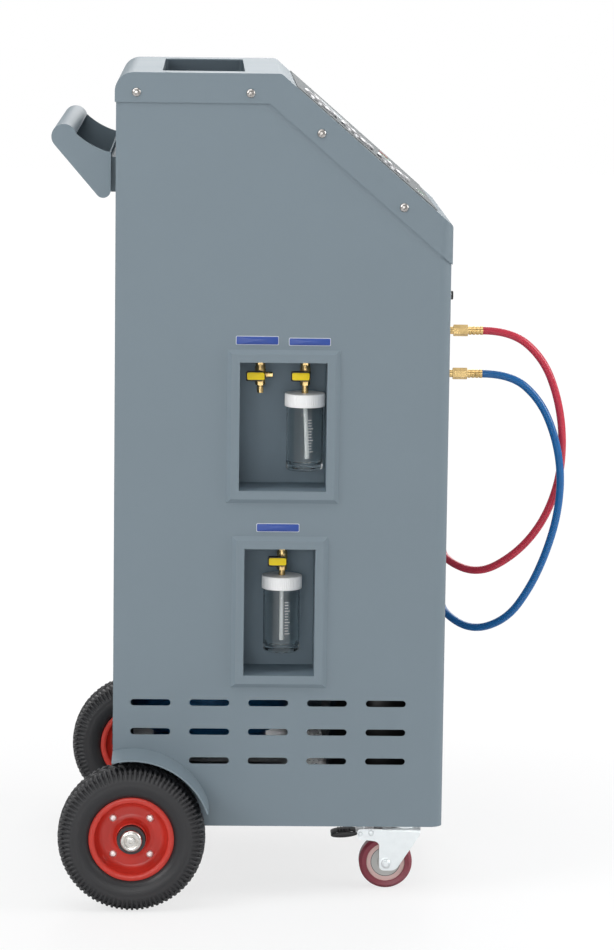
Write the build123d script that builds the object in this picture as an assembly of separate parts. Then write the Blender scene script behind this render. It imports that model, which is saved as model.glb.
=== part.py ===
# Air conditioning recharge station: a wheeled sheet-steel cabinet with a sloping console, two bottle
# niches in its left side, two charging hoses at the front and the recovery plant inside.
# Lengths are in millimetres. X runs from the push handle at the back to the front panel, Y runs from
# the side with the niches to the far side, and Z runs up from the floor. The pieces are drawn about
# the middle of the cabinet and moved along X as they are written, so that the origin lies on the
# floor under the middle of the whole outline.
import math
import os

from build123d import *

# Cabinet
cabinet_depth = 460.0
cabinet_width = 500.0
cabinet_bottom = 105.0
cabinet_top = 1150.0
sheet = 1.5
front_corner_radius = 17.0
slope_run = 236.0
slope_angle = 40.8
seat_gap = 0.3

# Top cover
cover_sheet = 1.5
cover_skirt = 40.5
cover_rear_radius = 26.0
cover_bend_radius = 8.0

# Tool tray sunk in the cover
tray_length = 390.0
tray_width = 113.0
tray_offset = 6.5
tray_depth = 40.0
tray_rim = 8.0

# Base tray and its running gear fixings
base_clearance = 13.0
base_sheet = 2.0
base_flange = 20.0
caster_rail_width = 84.0
axle_bracket_width = 40.0
axle_bracket_sheet = 6.0
axle_bracket_inset = 30.0

# Ventilation slots
slot_length = 55.5
slot_height = 9.2
slot_pitch_x = 81.7
slot_pitch_z = 41.0
slot_inset = 51.9
slot_top_z = 279.9
rear_slot_columns = 4
rear_slot_rows = 4
rear_slot_pitch = 68.0
rear_panel_flange = 8.0
inlet_y = -150.0
inlet_z = 220.0
inlet_width = 48.0
inlet_height = 28.0
inlet_depth = 26.0

# Bottle niches in the left side
niche_depth = 80.0
niche_sheet = 1.5
niche_height = 178.0
niche_border = 17.5
niche_bevel = 6.0
upper_niche_x = 1.4
upper_niche_z = 667.3
upper_niche_width = 120.0
lower_niche_x = -0.9
lower_niche_z = 408.5
lower_niche_width = 98.0

# Ball valves, caps and bottles
valve_setback = 40.0
dye_valve_x = -30.0
oil_valve_x = 32.0
drain_valve_x = 3.0
valve_drop = 22.0
valve_hex = 12.0
valve_body = 15.0
valve_stem_radius = 3.0
boss_length = 12.0
inlet_radius = 5.0
valve_outlet_radius = 4.5
valve_outlet_bore = 2.5
valve_outlet_length = 15.0
lever_reach = 20.0
lever_height = 14.0
lever_thickness = 6.0
cap_radius = 28.0
cap_height = 18.0
cap_wall = 2.4
oil_cap_drop = 46.8
drain_cap_drop = 43.5
valve_clearance = 0.05
bottle_base = 6.0
bottle_radius = 25.5
bottle_length = 89.0
bottle_clearance = 0.08
bottle_wall = 1.8
dip_tube_radius = 3.0
dip_tube_lean = 4.0

# Sloping console
console_start = 28.0
console_length = 255.0
console_side_margin = 15.0
console_sheet = 1.5
console_lap = 10.0
gauge_radius = 30.0
gauge_proud = 4.0
gauge_body_radius = 25.0
gauge_depth = 28.0
gauge_y = -150.0
gauge_first_s = 72.0
gauge_pitch = 67.0
needle_length = 19.0
needle_hub = 3.0
needle_pin = 1.0
needle_sheet = 0.8
dial_height = 0.5
button_radius = 7.0
button_bezel_radius = 9.5
button_well = 12.0
button_travel = 1.5
button_proud = 1.4
bezel_rim = 1.1
stem_radius = 2.0
button_s = 258.0
key_size = 22.0
key_width = 16.0
key_well = 8.0
key_s = 205.0
key_pitch = 70.0
key_first_y = 55.0
key_travel = 1.5
key_proud = 0.8
display_s = 105.0
display_y = 90.0
display_length = 70.0
display_width = 150.0
display_sink = 0.8

# Power button on the front panel
power_side_inset = 50.0
power_drop = 304.0
power_bezel_radius = 8.0
power_radius = 6.0
power_proud = 5.1
power_travel = 1.5
power_depth = 14.0

# Hose ports on the front panel, hoses and their parking places on the far side
port_y = 60.0
port_thread_radius = 5.5
red_port_z = 768.0
blue_port_z = 705.0
port_reach = 23.2
hose_diameter = 11.5
hose_nut_radius = 8.2
hose_nut_length = 21.0
ferrule_length = 20.5
ferrule_radius = 6.4
ferrule_neck = 1.3
bend_share = 0.45
coupler_drop = 47.0
spindle_radius = 4.0
coupler_standoff = 40.0
coupler_radius = 12.5
red_coupler_x = 150.0
red_coupler_z = 719.0
blue_coupler_x = 94.0
blue_coupler_z = 582.0
stud_radius = 6.5
knob_radius = 16.0
knob_length = 20.0
holder_size = 54.0
holder_sheet = 2.0

# Push handle across the back
handle_side_margin = 15.0
handle_sheet = 2.0
grip_radius = 17.0
grip_setback = 71.0
grip_drop = 89.0
grip_open_angle = 15.0
handle_bend_radius = 10.4
handle_diagonal_end = 220.6
handle_mouth_drop = 21.0
handle_dip_setback = 32.0
handle_dip_drop = 11.5
handle_standoff = 7.0
spacer_height = 48.0
spacer_inset = 20.0

# Rear wheels
wheel_radius = 102.0
wheel_inset = 27.7
wheel_offset = 47.0
tyre_width = 62.0
tyre_wall = 6.0
rim_radius = 59.0
bead_radius = 52.0
rim_sheet = 2.0
rim_dish_radius = 44.0
rim_offset = 26.0
hub_radius = 19.5
hub_length = 58.0
hub_tube_radius = 15.0
rim_seat_clearance = 0.1
axle_radius = 10.0
running_gap = 0.05
axle_nut_radius = 15.5
fender_radius = 112.5
fender_sheet = 2.0
fender_width = 75.0
fender_front_angle = 19.5

# Front casters
caster_inset = 50.0
caster_side_inset = 77.5
caster_trail = 25.0
caster_wheel_radius = 37.5
caster_wheel_width = 26.0
caster_plate_length = 80.0
caster_plate_width = 60.0
caster_plate_sheet = 2.5
fork_sheet = 3.0
fork_top = 88.0
fork_gap = 2.0
kingpin_radius = 6.0
caster_axle_radius = 4.0
pedal_setback = 46.0
pedal_pivot_z = 81.0
pedal_length = 46.0
kingpin_low = 79.0
fork_cup_radius = 17.0
pedal_pin_radius = 2.5

# Plant inside the cabinet
shelf_z = 600.0
shelf_sheet = 2.0
tank_radius = 115.0
tank_rear_gap = 12.0
tank_y = 95.0
tank_height = 400.0
tank_wall = 3.0
scale_size = 230.0
scale_height = 30.0
compressor_radius = 68.0
compressor_front_gap = 17.0
compressor_y = -140.0
compressor_height = 190.0
pump_x = 125.0
pump_y = 90.0
pump_length = 260.0
pump_radius = 58.0
pump_motor_share = 0.55
pump_fins = 9
pump_fin_pitch = 14.0
pump_fin_sheet = 3.0
pump_fin_height = 6.0
pump_case_width = 92.0
pump_case_low = 50.0
pump_case_high = 56.0
pump_filler_radius = 16.0
pump_filler_height = 50.0
pump_foot_width = 100.0
pump_foot_length = 24.0
pump_lift = 12.0
condenser_rear_gap = 12.0
condenser_y = 90.0
condenser_size = 220.0
condenser_thickness = 40.0
fin_count = 12
tube_rows = 5
tube_radius = 4.0
tube_bend = 14.0
fan_radius = 92.0
fan_blades = 5
fan_hub_radius = 20.0
fan_hub_depth = 18.0
fan_blade_chord = 30.0
fan_blade_sheet = 2.0
fan_seat = 9.0
fan_motor_radius = 22.0
manifold_width = 40.0
manifold_thickness = 36.0
manifold_margin = 25.0
manifold_stand = 6.0
coil_radius = 15.0
coil_length = 34.0
coil_pin_radius = 6.0
coil_pin_length = 12.0
drier_radius = 36.0
drier_length = 150.0
power_box_width = 160.0
power_box_height = 110.0
power_box_depth = 62.0
power_box_x = 120.0
power_box_drop = 290.0
drier_x = 60.0
drier_y = 140.0

# Values that follow from those above
front_face = cabinet_depth / 2
rear_face = -cabinet_depth / 2
side_face = cabinet_width / 2
side_inner = side_face - sheet
slope_start = front_face - slope_run
tray_centre_x = (rear_face + slope_start) / 2 + tray_offset
slot_first_x = rear_face + slot_inset
console_width = cabinet_width - 2 * console_side_margin
power_y = power_side_inset - side_face
power_z = cabinet_top - power_drop
hose_start_x = front_face + port_reach + hose_nut_length + ferrule_neck + ferrule_length
coupler_y = side_face + coupler_standoff
handle_width = cabinet_width - 2 * handle_side_margin
grip_x = rear_face - grip_setback
grip_z = cabinet_top - grip_drop
handle_mouth = grip_z - handle_mouth_drop
wheel_x = rear_face + wheel_inset
wheel_y = side_face + wheel_offset
caster_x = front_face - caster_inset
caster_y = side_face - caster_side_inset
pedal_pivot_x = caster_x - pedal_setback
tank_x = rear_face + rear_panel_flange + tank_rear_gap + tank_radius
compressor_plate = compressor_radius + 3
compressor_x = front_face - compressor_front_gap - compressor_plate
condenser_x = rear_face + rear_panel_flange + condenser_rear_gap + condenser_thickness / 2
power_box_z = cabinet_top - power_box_drop
cover_proud = cover_sheet + seat_gap
cover_front = front_face + cover_proud
slope = math.radians(slope_angle)
skirt_bottom = cabinet_top - cover_skirt
base_bottom = cabinet_bottom + base_clearance
base_top = base_bottom + base_sheet
valve_y = valve_setback - side_face
handle_back = rear_face - handle_standoff
condenser_z = shelf_z + shelf_sheet + condenser_size / 2
rear_panel_top = cabinet_top - cover_rear_radius - 2
front_reach = front_face + power_proud
origin_shift = (grip_radius - grip_x - front_reach) / 2


def slope_height(x, inset=0.0):
    """Height of the sloping face at x, lowered square to itself by inset."""
    return cabinet_top - inset / math.cos(slope) - math.tan(slope) * (x - slope_start)


def slope_bend(inset=0.0):
    """X where the top and the slope meet, both lowered by inset."""
    return slope_start + inset * (1 - 1 / math.cos(slope)) / math.tan(slope)


slope_normal = Vector(math.sin(slope), 0, math.cos(slope))
console_plane = Plane(
    origin=(slope_start, 0, cabinet_top),
    x_dir=(math.cos(slope), 0, -math.sin(slope)),
    z_dir=(math.sin(slope), 0, math.cos(slope)),
)


def on_console(s, y, height=0.0):
    """A place on the console: s down the slope, y across it, height above its sheet."""
    return console_plane * Pos(s, y, height)


def side_plane(y):
    """A drawing plane seen from the left side, with X across and Z up."""
    return Plane(origin=(0, y, 0), x_dir=(1, 0, 0), z_dir=(0, -1, 0))


def across(sketch, y_low, y_high):
    """A side-view outline carried across the machine."""
    return extrude(side_plane(y_high) * sketch, amount=y_high - y_low)


def upright(sketch, z_low, z_high):
    """A plan outline carried upwards."""
    return extrude(Pos(0, 0, z_low) * sketch, amount=z_high - z_low)


def outline(*points):
    return make_face(Polyline(*points, close=True))


def turned(points, axis):
    """A solid of revolution from a half section."""
    return revolve(make_face(Polyline(*points, close=True)), axis)


def box(low, high):
    size = [b - a for a, b in zip(low, high)]
    middle = [(a + b) / 2 for a, b in zip(low, high)]
    return Pos(*middle) * Box(*size)


def rod(start, direction, radius, length):
    """A round bar from start along direction."""
    return extrude(Plane(origin=start, z_dir=direction) * Circle(radius), amount=length)


def hexagon(start, direction, flats, length):
    """A hexagon bar from start along direction, flats across its sides."""
    section = RegularPolygon(flats / math.sqrt(3), 6)
    return extrude(Plane(origin=start, z_dir=direction) * section, amount=length)


def round_corner(sketch, point, radius):
    """Rounds the corner of a flat outline that lies nearest to point."""
    corner = sketch.vertices().sort_by_distance((point[0], point[1], 0))[0]
    return fillet(corner, radius)


def save(name, *shapes):
    """Writes one piece, moved so that the origin is under the middle of the outline."""
    shift = Location((origin_shift, 0, 0))
    solids = [solid.moved(shift) for shape in shapes for solid in shape.solids()]
    export_step(solids[0] if len(solids) == 1 else Compound(solids), f"parts/{name}.step")


# Cabinet panels
def body_outline(inset):
    """Side view of the cabinet under the cover, up to where the front corner starts to turn."""
    corner_x = front_face - front_corner_radius
    top = cabinet_top - inset
    flat = outline(
        (rear_face, cabinet_bottom),
        (corner_x, cabinet_bottom),
        (corner_x, slope_height(corner_x, inset)),
        (slope_bend(inset), top),
        (rear_face, top),
    )
    flat = round_corner(flat, (rear_face, top), cover_rear_radius - inset)
    return round_corner(flat, (slope_bend(inset), top), cover_bend_radius - inset)


def slot_grid(columns, rows):
    """The slots of a side panel, without the one that the wheel would foul."""
    places = [(i, j) for j in range(rows) for i in range(columns) if (i, j) != (0, rows - 1)]
    slots = [
        Pos(slot_first_x + i * slot_pitch_x, slot_top_z - j * slot_pitch_z)
        * SlotOverall(slot_length, slot_height)
        for i, j in places
    ]
    return Sketch() + slots


def side_sheet():
    """A side panel as a flat outline, with its slots and the notch for the axle."""
    notch_top = wheel_radius + axle_radius + 2
    notch_width = 2 * (axle_radius + 2)
    notch = Pos(wheel_x, (cabinet_bottom + notch_top) / 2) * Rectangle(
        notch_width, notch_top - cabinet_bottom
    )
    return body_outline(cover_proud) - slot_grid(5, 3) - notch


def niche_window(x, z, width):
    """The hole in the side panel that a niche box passes through."""
    spare = 2 * (niche_sheet + seat_gap)
    return Pos(x, z) * Rectangle(width + spare, niche_height + spare)


def left_side_panel():
    flat = side_sheet() - niche_window(upper_niche_x, upper_niche_z, upper_niche_width)
    flat = flat - niche_window(lower_niche_x, lower_niche_z, lower_niche_width)
    return across(flat, -side_face, -side_inner)


def right_side_panel():
    return across(side_sheet(), side_inner, side_face)


def front_panel():
    """The front sheet with its two rounded corners, pierced for the ports and the power button."""
    start = front_face - front_corner_radius
    outer = Pos(start / 2, 0) * Rectangle(2 * front_face - start, cabinet_width)
    inner_width = cabinet_width - 2 * sheet
    inner = Pos(start / 2 - sheet, 0) * Rectangle(2 * front_face - start, inner_width)
    for side in (-1, 1):
        outer = round_corner(outer, (front_face, side * side_face), front_corner_radius)
        corner = (front_face - sheet, side * side_inner)
        inner = round_corner(inner, corner, front_corner_radius - sheet)
    keep = Pos((start + front_face) / 2, 0) * Rectangle(front_corner_radius, cabinet_width)
    section = (outer - inner) & keep
    panel_top = slope_height(front_face, cover_proud) - cover_sheet
    panel = upright(section, cabinet_bottom, panel_top)
    for z in (red_port_z, blue_port_z):
        panel -= rod((start, port_y, z), (1, 0, 0), port_thread_radius + 0.1, 2 * front_corner_radius)
    power_hole = power_radius + seat_gap + 1.05
    panel -= rod((start, power_y, power_z), (1, 0, 0), power_hole, 2 * front_corner_radius)
    return panel


def rear_panel():
    """The rear service panel: a shallow pan with slots for the condenser and a cut-out for the inlet."""
    half = side_inner - seat_gap
    low = cabinet_bottom
    pan = box((rear_face, -half, low), (rear_face + rear_panel_flange, half, rear_panel_top))
    pan -= box(
        (rear_face + sheet, -half + sheet, low + sheet),
        (rear_face + rear_panel_flange + 1, half - sheet, rear_panel_top - sheet),
    )
    plane = Plane(origin=(rear_face, condenser_y, condenser_z), x_dir=(0, 1, 0), z_dir=(1, 0, 0))
    places = GridLocations(rear_slot_pitch, slot_pitch_z, rear_slot_columns, rear_slot_rows)
    slots = Sketch() + [place * SlotOverall(slot_length, slot_height) for place in places]
    pan -= extrude(plane * slots, amount=2 * sheet, both=True)
    spare = seat_gap
    pan -= box(
        (rear_face - 1, inlet_y - inlet_width / 2 - spare, inlet_z - inlet_height / 2 - spare),
        (rear_face + 5, inlet_y + inlet_width / 2 + spare, inlet_z + inlet_height / 2 + spare),
    )
    return pan


def cover_outline(inset, drop):
    """Side view of the cover, inset from its outer faces, with its lower edge dropped."""
    back = rear_face - cover_proud + inset
    front = cover_front - inset
    top = cabinet_top - inset
    bend = slope_bend(inset)
    brow = slope_height(front, inset)
    flat = outline(
        (back, skirt_bottom - drop),
        (back, top),
        (bend, top),
        (front, brow),
        (front, slope_height(front, cover_skirt) - drop),
        (slope_bend(cover_skirt), skirt_bottom - drop),
    )
    flat = round_corner(flat, (back, top), cover_rear_radius - inset)
    flat = round_corner(flat, (bend, top), cover_bend_radius - inset)
    return round_corner(flat, (front, brow), cover_bend_radius - inset)


def cover_block(inset, drop):
    """The cover's outer or inner form as a solid block with rounded front corners."""
    reach = side_face + cover_proud - inset
    front = cover_front - inset
    plan = Pos(-front_corner_radius, 0) * Rectangle(2 * front + 2 * front_corner_radius, 2 * reach)
    for side in (-1, 1):
        plan = round_corner(plan, (front, side * reach), front_corner_radius + cover_proud - inset)
    return across(cover_outline(inset, drop), -reach, reach) & upright(plan, 0, 2 * cabinet_top)


def top_cover():
    """The cover cap: one folded sheet over the top, the slope and both sides."""
    outer = cover_block(0, 0)
    inner = cover_block(cover_sheet, 60)
    shell = outer - inner
    shell -= box(
        (tray_centre_x - tray_width / 2, -tray_length / 2, cabinet_top - 20),
        (tray_centre_x + tray_width / 2, tray_length / 2, cabinet_top + 5),
    )
    middle = console_start + console_length / 2
    window = Box(console_length - 2 * console_lap, console_width - 2 * console_lap, 30)
    return shell - on_console(middle, 0) * window


def tool_tray():
    """A sunk tray whose rim hangs under the cover."""
    top = cabinet_top - cover_sheet
    floor = cabinet_top - tray_depth
    half_x = tray_width / 2
    half_y = tray_length / 2
    inner = Pos(tray_centre_x, 0) * RectangleRounded(2 * half_x, 2 * half_y, 6)
    outer = Pos(tray_centre_x, 0) * RectangleRounded(2 * (half_x + sheet), 2 * (half_y + sheet), 7.5)
    rim = Pos(tray_centre_x, 0) * Rectangle(2 * (half_x + tray_rim), 2 * (half_y + tray_rim))
    tray = upright(outer, floor - sheet, top) + upright(rim, top - sheet, top)
    return tray - upright(inner, floor, top + 1)


def base_tray():
    """The floor pan with its flanges, the rail for the casters and the two axle brackets."""
    rear = rear_face + rear_panel_flange + seat_gap
    front = front_face - sheet - seat_gap
    half = side_inner - seat_gap
    plan = Pos((rear + front) / 2, 0) * Rectangle(front - rear, 2 * half)
    hollow = Pos((rear + front) / 2, 0) * Rectangle(front - rear - 2 * base_sheet, 2 * (half - base_sheet))
    for side in (-1, 1):
        plan = round_corner(plan, (front, side * half), front_corner_radius)
        inner_corner = (front - base_sheet, side * (half - base_sheet))
        hollow = round_corner(hollow, inner_corner, front_corner_radius - base_sheet)
    pan = upright(plan, base_bottom, base_top + base_flange)
    pan -= upright(hollow, base_top, base_top + base_flange + 1)
    rail_half = caster_rail_width / 2
    rail_end = caster_y + caster_plate_width / 2
    rail = box(
        (caster_x - rail_half, -rail_end, cabinet_bottom),
        (caster_x + rail_half, rail_end, base_bottom),
    )
    rail -= box(
        (caster_x - rail_half + base_sheet, -rail_end - 1, cabinet_bottom + base_sheet),
        (caster_x + rail_half - base_sheet, rail_end + 1, base_bottom),
    )
    pan += rail
    for side in (-1, 1):
        y = side * (side_face - axle_bracket_inset)
        flat = Pos(wheel_x, wheel_radius) * Circle(axle_bracket_width / 2 - 1)
        flat += Pos(wheel_x, (wheel_radius + base_bottom) / 2) * Rectangle(
            axle_bracket_width - 2, base_bottom - wheel_radius
        )
        flat -= Pos(wheel_x, wheel_radius) * Circle(axle_radius + running_gap)
        pan += across(flat, y - axle_bracket_sheet / 2, y + axle_bracket_sheet / 2)
    return pan


# Console
def gauge_place(index, height=0.0):
    return on_console(gauge_first_s + index * gauge_pitch, gauge_y, height)


def console_panel():
    """The overlay sheet on the slope, with key wells, gauge holes and a shallow display recess."""
    middle = console_start + console_length / 2
    panel = on_console(middle, 0, console_sheet / 2) * Box(console_length, console_width, console_sheet)
    for index in range(2):
        y = key_first_y + index * key_pitch
        wall = 2 * sheet + 2 * seat_gap
        panel += on_console(key_s, y, -key_well / 2) * Box(key_width + wall, key_size + wall, key_well)
        pocket = Box(key_width + 2 * seat_gap, key_size + 2 * seat_gap, key_well + console_sheet)
        panel -= on_console(key_s, y, sheet + console_sheet / 2 - key_well / 2 + 0.5) * pocket
        panel -= on_console(key_s, y) * Cylinder(stem_radius + running_gap, 4 * key_well)
    for index in range(3):
        panel -= gauge_place(index) * Cylinder(gauge_body_radius + 0.1, 20)
    panel -= on_console(button_s, gauge_y) * Cylinder(button_radius + 1.4, 20)
    recess = Box(display_length, display_width, 2 * display_sink)
    panel -= on_console(display_s, display_y, console_sheet) * recess
    return panel


def gauge_case():
    """A gauge case with a raised ring, an open face and the pin that carries the needle."""
    seat = console_sheet
    ring = gauge_radius
    body = gauge_body_radius
    profile = [
        (0, -gauge_depth),
        (body, -gauge_depth),
        (body, seat),
        (ring, seat),
        (ring, seat + gauge_proud - 1.5),
        (ring - 1.5, seat + gauge_proud),
        (body, seat + gauge_proud),
        (body - 1.5, seat + gauge_proud - 1.5),
        (body - 1.5, dial_height),
        (needle_pin, dial_height),
        (needle_pin, dial_height + 2.2),
        (0, dial_height + 2.2),
    ]
    return revolve(Plane.XZ * make_face(Polyline(*profile, close=True)), Axis.Z)


def button_case(radius, depth, rim_radius, rim_height, seat):
    """A button's tube with its rim, closed below but for the hole that guides the stem."""
    inner = radius + seat_gap
    profile = [
        (stem_radius + running_gap, -depth),
        (inner + 1, -depth),
        (inner + 1, seat),
        (rim_radius, seat),
        (rim_radius, seat + rim_height - 0.4),
        (rim_radius - 0.4, seat + rim_height),
        (inner, seat + rim_height),
        (inner, 1.5 - depth),
        (stem_radius + running_gap, 1.5 - depth),
    ]
    return revolve(Plane.XZ * make_face(Polyline(*profile, close=True)), Axis.Z)


def button_body(radius, depth, proud, travel, seat):
    """A button cap on its stem, with room below it for its travel."""
    top = seat + proud
    cap = Pos(0, 0, (top + travel + 2.5 - depth) / 2) * Cylinder(radius, top - travel - 2.5 + depth)
    cap = chamfer(cap.edges().sort_by(Axis.Z)[-1], 0.5)
    stem_top = travel + 2.5 - depth
    stem_low = -depth - travel
    return cap + Pos(0, 0, (stem_top + stem_low) / 2) * Cylinder(stem_radius, stem_top - stem_low)


front_plane = Plane(origin=(front_face, power_y, power_z), x_dir=(0, 1, 0), z_dir=(1, 0, 0))


def control_bezels():
    """Gauge cases and the tubes of the two round buttons."""
    cases = [gauge_place(index) * gauge_case() for index in range(3)]
    mode = button_case(button_radius, button_well, button_bezel_radius, bezel_rim, console_sheet)
    power = button_case(power_radius, power_depth, power_bezel_radius, 2.0, 0)
    return cases + [on_console(button_s, gauge_y) * mode, front_plane * power]


def needle(index, angle):
    """A gauge needle in its rest position on the dial."""
    blade = outline((-6, -0.8), (-6, 0.8), (needle_length, 0.25), (needle_length, -0.25))
    flat = blade + Circle(needle_hub) - Circle(needle_pin + running_gap)
    whole = extrude(flat, amount=needle_sheet)
    return gauge_place(index, dial_height + 0.5) * Rot(0, 0, angle) * whole


def key(index):
    """A start or stop key: a flat cap on a guided stem."""
    y = key_first_y + index * key_pitch
    top = console_sheet + key_proud
    low = key_travel + 1.2 + sheet - key_well
    cap = on_console(key_s, y, (top + low) / 2) * Box(key_width, key_size, top - low)
    stem_low = -key_well - key_travel
    stem = on_console(key_s, y, (low + stem_low) / 2) * Cylinder(stem_radius, low - stem_low)
    return cap + stem


# Push handle
def handle_section(inset):
    """Side view of the handle's outer form, drawn in by inset."""
    radius = grip_radius - inset

    def on_grip(angle):
        turn = math.radians(angle)
        return (grip_x + radius * math.cos(turn), grip_z + radius * math.sin(turn))

    start = on_grip(grip_open_angle)
    end = on_grip(handle_diagonal_end)
    back = handle_back - inset
    lean = math.radians(handle_diagonal_end + 90)
    foot = (back, end[1] + (back - end[0]) * math.tan(lean))
    mouth = (back, handle_mouth)
    arc = ThreePointArc(start, on_grip((grip_open_angle + handle_diagonal_end) / 2), end)
    if inset:
        closing = [Line(mouth, (back, grip_z + 10)), Line((back, grip_z + 10), start)]
    else:
        dip = (rear_face - handle_dip_setback, grip_z - handle_dip_drop)
        closing = [ThreePointArc(mouth, dip, start)]
    face = make_face([arc, Line(end, foot), Line(foot, mouth)] + closing)
    return round_corner(face, foot, handle_bend_radius - inset)


def push_handle():
    """The pressed handle: a rolled grip and a trough with closed ends, on a spacer."""
    half = handle_width / 2
    whole = across(handle_section(0), -half, half)
    hollow = across(handle_section(handle_sheet), -half + handle_sheet, half - handle_sheet)
    spacer = box(
        (handle_back, spacer_inset - half, handle_mouth - handle_standoff - spacer_height),
        (rear_face, half - spacer_inset, handle_mouth - handle_standoff),
    )
    return whole - hollow + spacer


# Rear running gear
def fender(side):
    """A bent strip over a wheel with the flange that fixes it to the side panel."""
    outer = fender_radius
    rear_turn = math.degrees(math.acos((rear_face - wheel_x) / outer))
    sweep_turn = rear_turn - fender_front_angle
    arc = CenterArc((wheel_x, wheel_radius), outer - fender_sheet / 2, fender_front_angle, sweep_turn)
    strip = trace(arc, fender_sheet)
    flange_arc = CenterArc((wheel_x, wheel_radius), outer - 7, fender_front_angle, sweep_turn)
    flange = trace(flange_arc, 14)
    low = side_face
    if side < 0:
        return across(strip, -low - fender_width, -low) + across(flange, -low - 2, -low)
    return across(strip, low, low + fender_width) + across(flange, low, low + 2)


def tyre_section():
    """Half of the tyre's closed section, as radius and distance from the middle."""
    half = tyre_width / 2
    bead = rim_radius - bead_radius
    outer = [
        (bead_radius, half - 9.5),
        (bead_radius + bead + 0.5, half - 9.5),
        (bead_radius + 13, half - 2.5),
        (bead_radius + 21, half),
        (wheel_radius - 13, half),
        (wheel_radius - 4.5, half - 3.5),
        (wheel_radius - 1, half - 10),
        (wheel_radius, half - 20),
    ]
    inner = [
        (wheel_radius - tyre_wall - 1, half - 20),
        (wheel_radius - tyre_wall - 4, half - 11),
        (wheel_radius - 16, half - tyre_wall),
        (bead_radius + 22, half - tyre_wall),
        (bead_radius + 11, half - 9.5 - tyre_wall),
        (bead_radius, half - 9.5 - tyre_wall),
    ]
    return outer, inner


def tyre(side):
    outer, inner = tyre_section()
    mirrored_outer = [(r, -y) for r, y in reversed(outer)]
    mirrored_inner = [(r, -y) for r, y in reversed(inner)]
    section = outer + mirrored_outer + mirrored_inner + inner
    return Pos(wheel_x, side * wheel_y, wheel_radius) * turned(section, Axis.Y)


def rim(side):
    """A flanged barrel with a flat disc that closes on the hub."""
    edge = tyre_width / 2 - 9.5
    lip = edge + rim_sheet
    seat = bead_radius
    inner = bead_radius - rim_sheet
    disc = rim_sheet
    half = [
        (hub_tube_radius + rim_seat_clearance, disc),
        (rim_dish_radius, disc),
        (inner, disc + 6),
        (inner, lip),
        (rim_radius, lip),
        (rim_radius, edge),
        (seat, edge),
    ]
    section = half + [(r, -y) for r, y in reversed(half)]
    return Pos(wheel_x, side * wheel_y, wheel_radius) * turned(section, Axis.Y)


def hub(side):
    """The hub tube with a bearing housing at each end."""
    end = hub_length / 2
    shoulder = end - 11
    bore = axle_radius + running_gap
    section = [
        (bore, -end),
        (hub_radius, -end),
        (hub_radius, -shoulder),
        (hub_tube_radius, -shoulder),
        (hub_tube_radius, shoulder),
        (hub_radius, shoulder),
        (hub_radius, end),
        (bore, end),
    ]
    return Pos(wheel_x, side * wheel_y, wheel_radius) * turned(section, Axis.Y)


def rear_axle():
    """The axle with its spacers inboard of the hubs and its domed nuts outboard."""
    hub_low = wheel_y - hub_length / 2 - seat_gap
    hub_high = wheel_y + hub_length / 2 + seat_gap
    nut = hub_high + 7.5
    spacer = hub_tube_radius
    side_gap = side_face + seat_gap
    half = [
        (0, nut),
        (axle_nut_radius - 4, nut),
        (axle_nut_radius, nut - 3),
        (axle_nut_radius, hub_high),
        (axle_radius, hub_high),
        (axle_radius, hub_low),
        (spacer, hub_low),
        (spacer, side_gap),
        (axle_radius, side_gap),
    ]
    section = half + [(r, -y) for r, y in reversed(half)]
    return Pos(wheel_x, 0, wheel_radius) * turned(section, Axis.Y)


# Casters
def caster_plate(side):
    """A top plate with its race and the kingpin with its head under the fork."""
    plate = Pos(caster_x, side * caster_y) * RectangleRounded(caster_plate_length, caster_plate_width, 5)
    for x in (-1, 1):
        for y in (-1, 1):
            hole_x = caster_x + x * (caster_plate_length / 2 - 9)
            hole_y = side * caster_y + y * (caster_plate_width / 2 - 9)
            plate -= Pos(hole_x, hole_y) * Circle(3.2)
    top = cabinet_bottom
    race = top - caster_plate_sheet - 3
    section = [
        (0, kingpin_low),
        (kingpin_radius + 2, kingpin_low),
        (kingpin_radius + 2, fork_top - fork_sheet - seat_gap),
        (kingpin_radius, fork_top - fork_sheet - seat_gap),
        (kingpin_radius, race),
        (fork_cup_radius, race),
        (fork_cup_radius, top - caster_plate_sheet),
        (0, top - caster_plate_sheet),
    ]
    post = revolve(Plane.XZ * make_face(Polyline(*section, close=True)), Axis.Z)
    whole = upright(plate, top - caster_plate_sheet, top)
    return whole + Pos(caster_x, side * caster_y) * post


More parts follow.
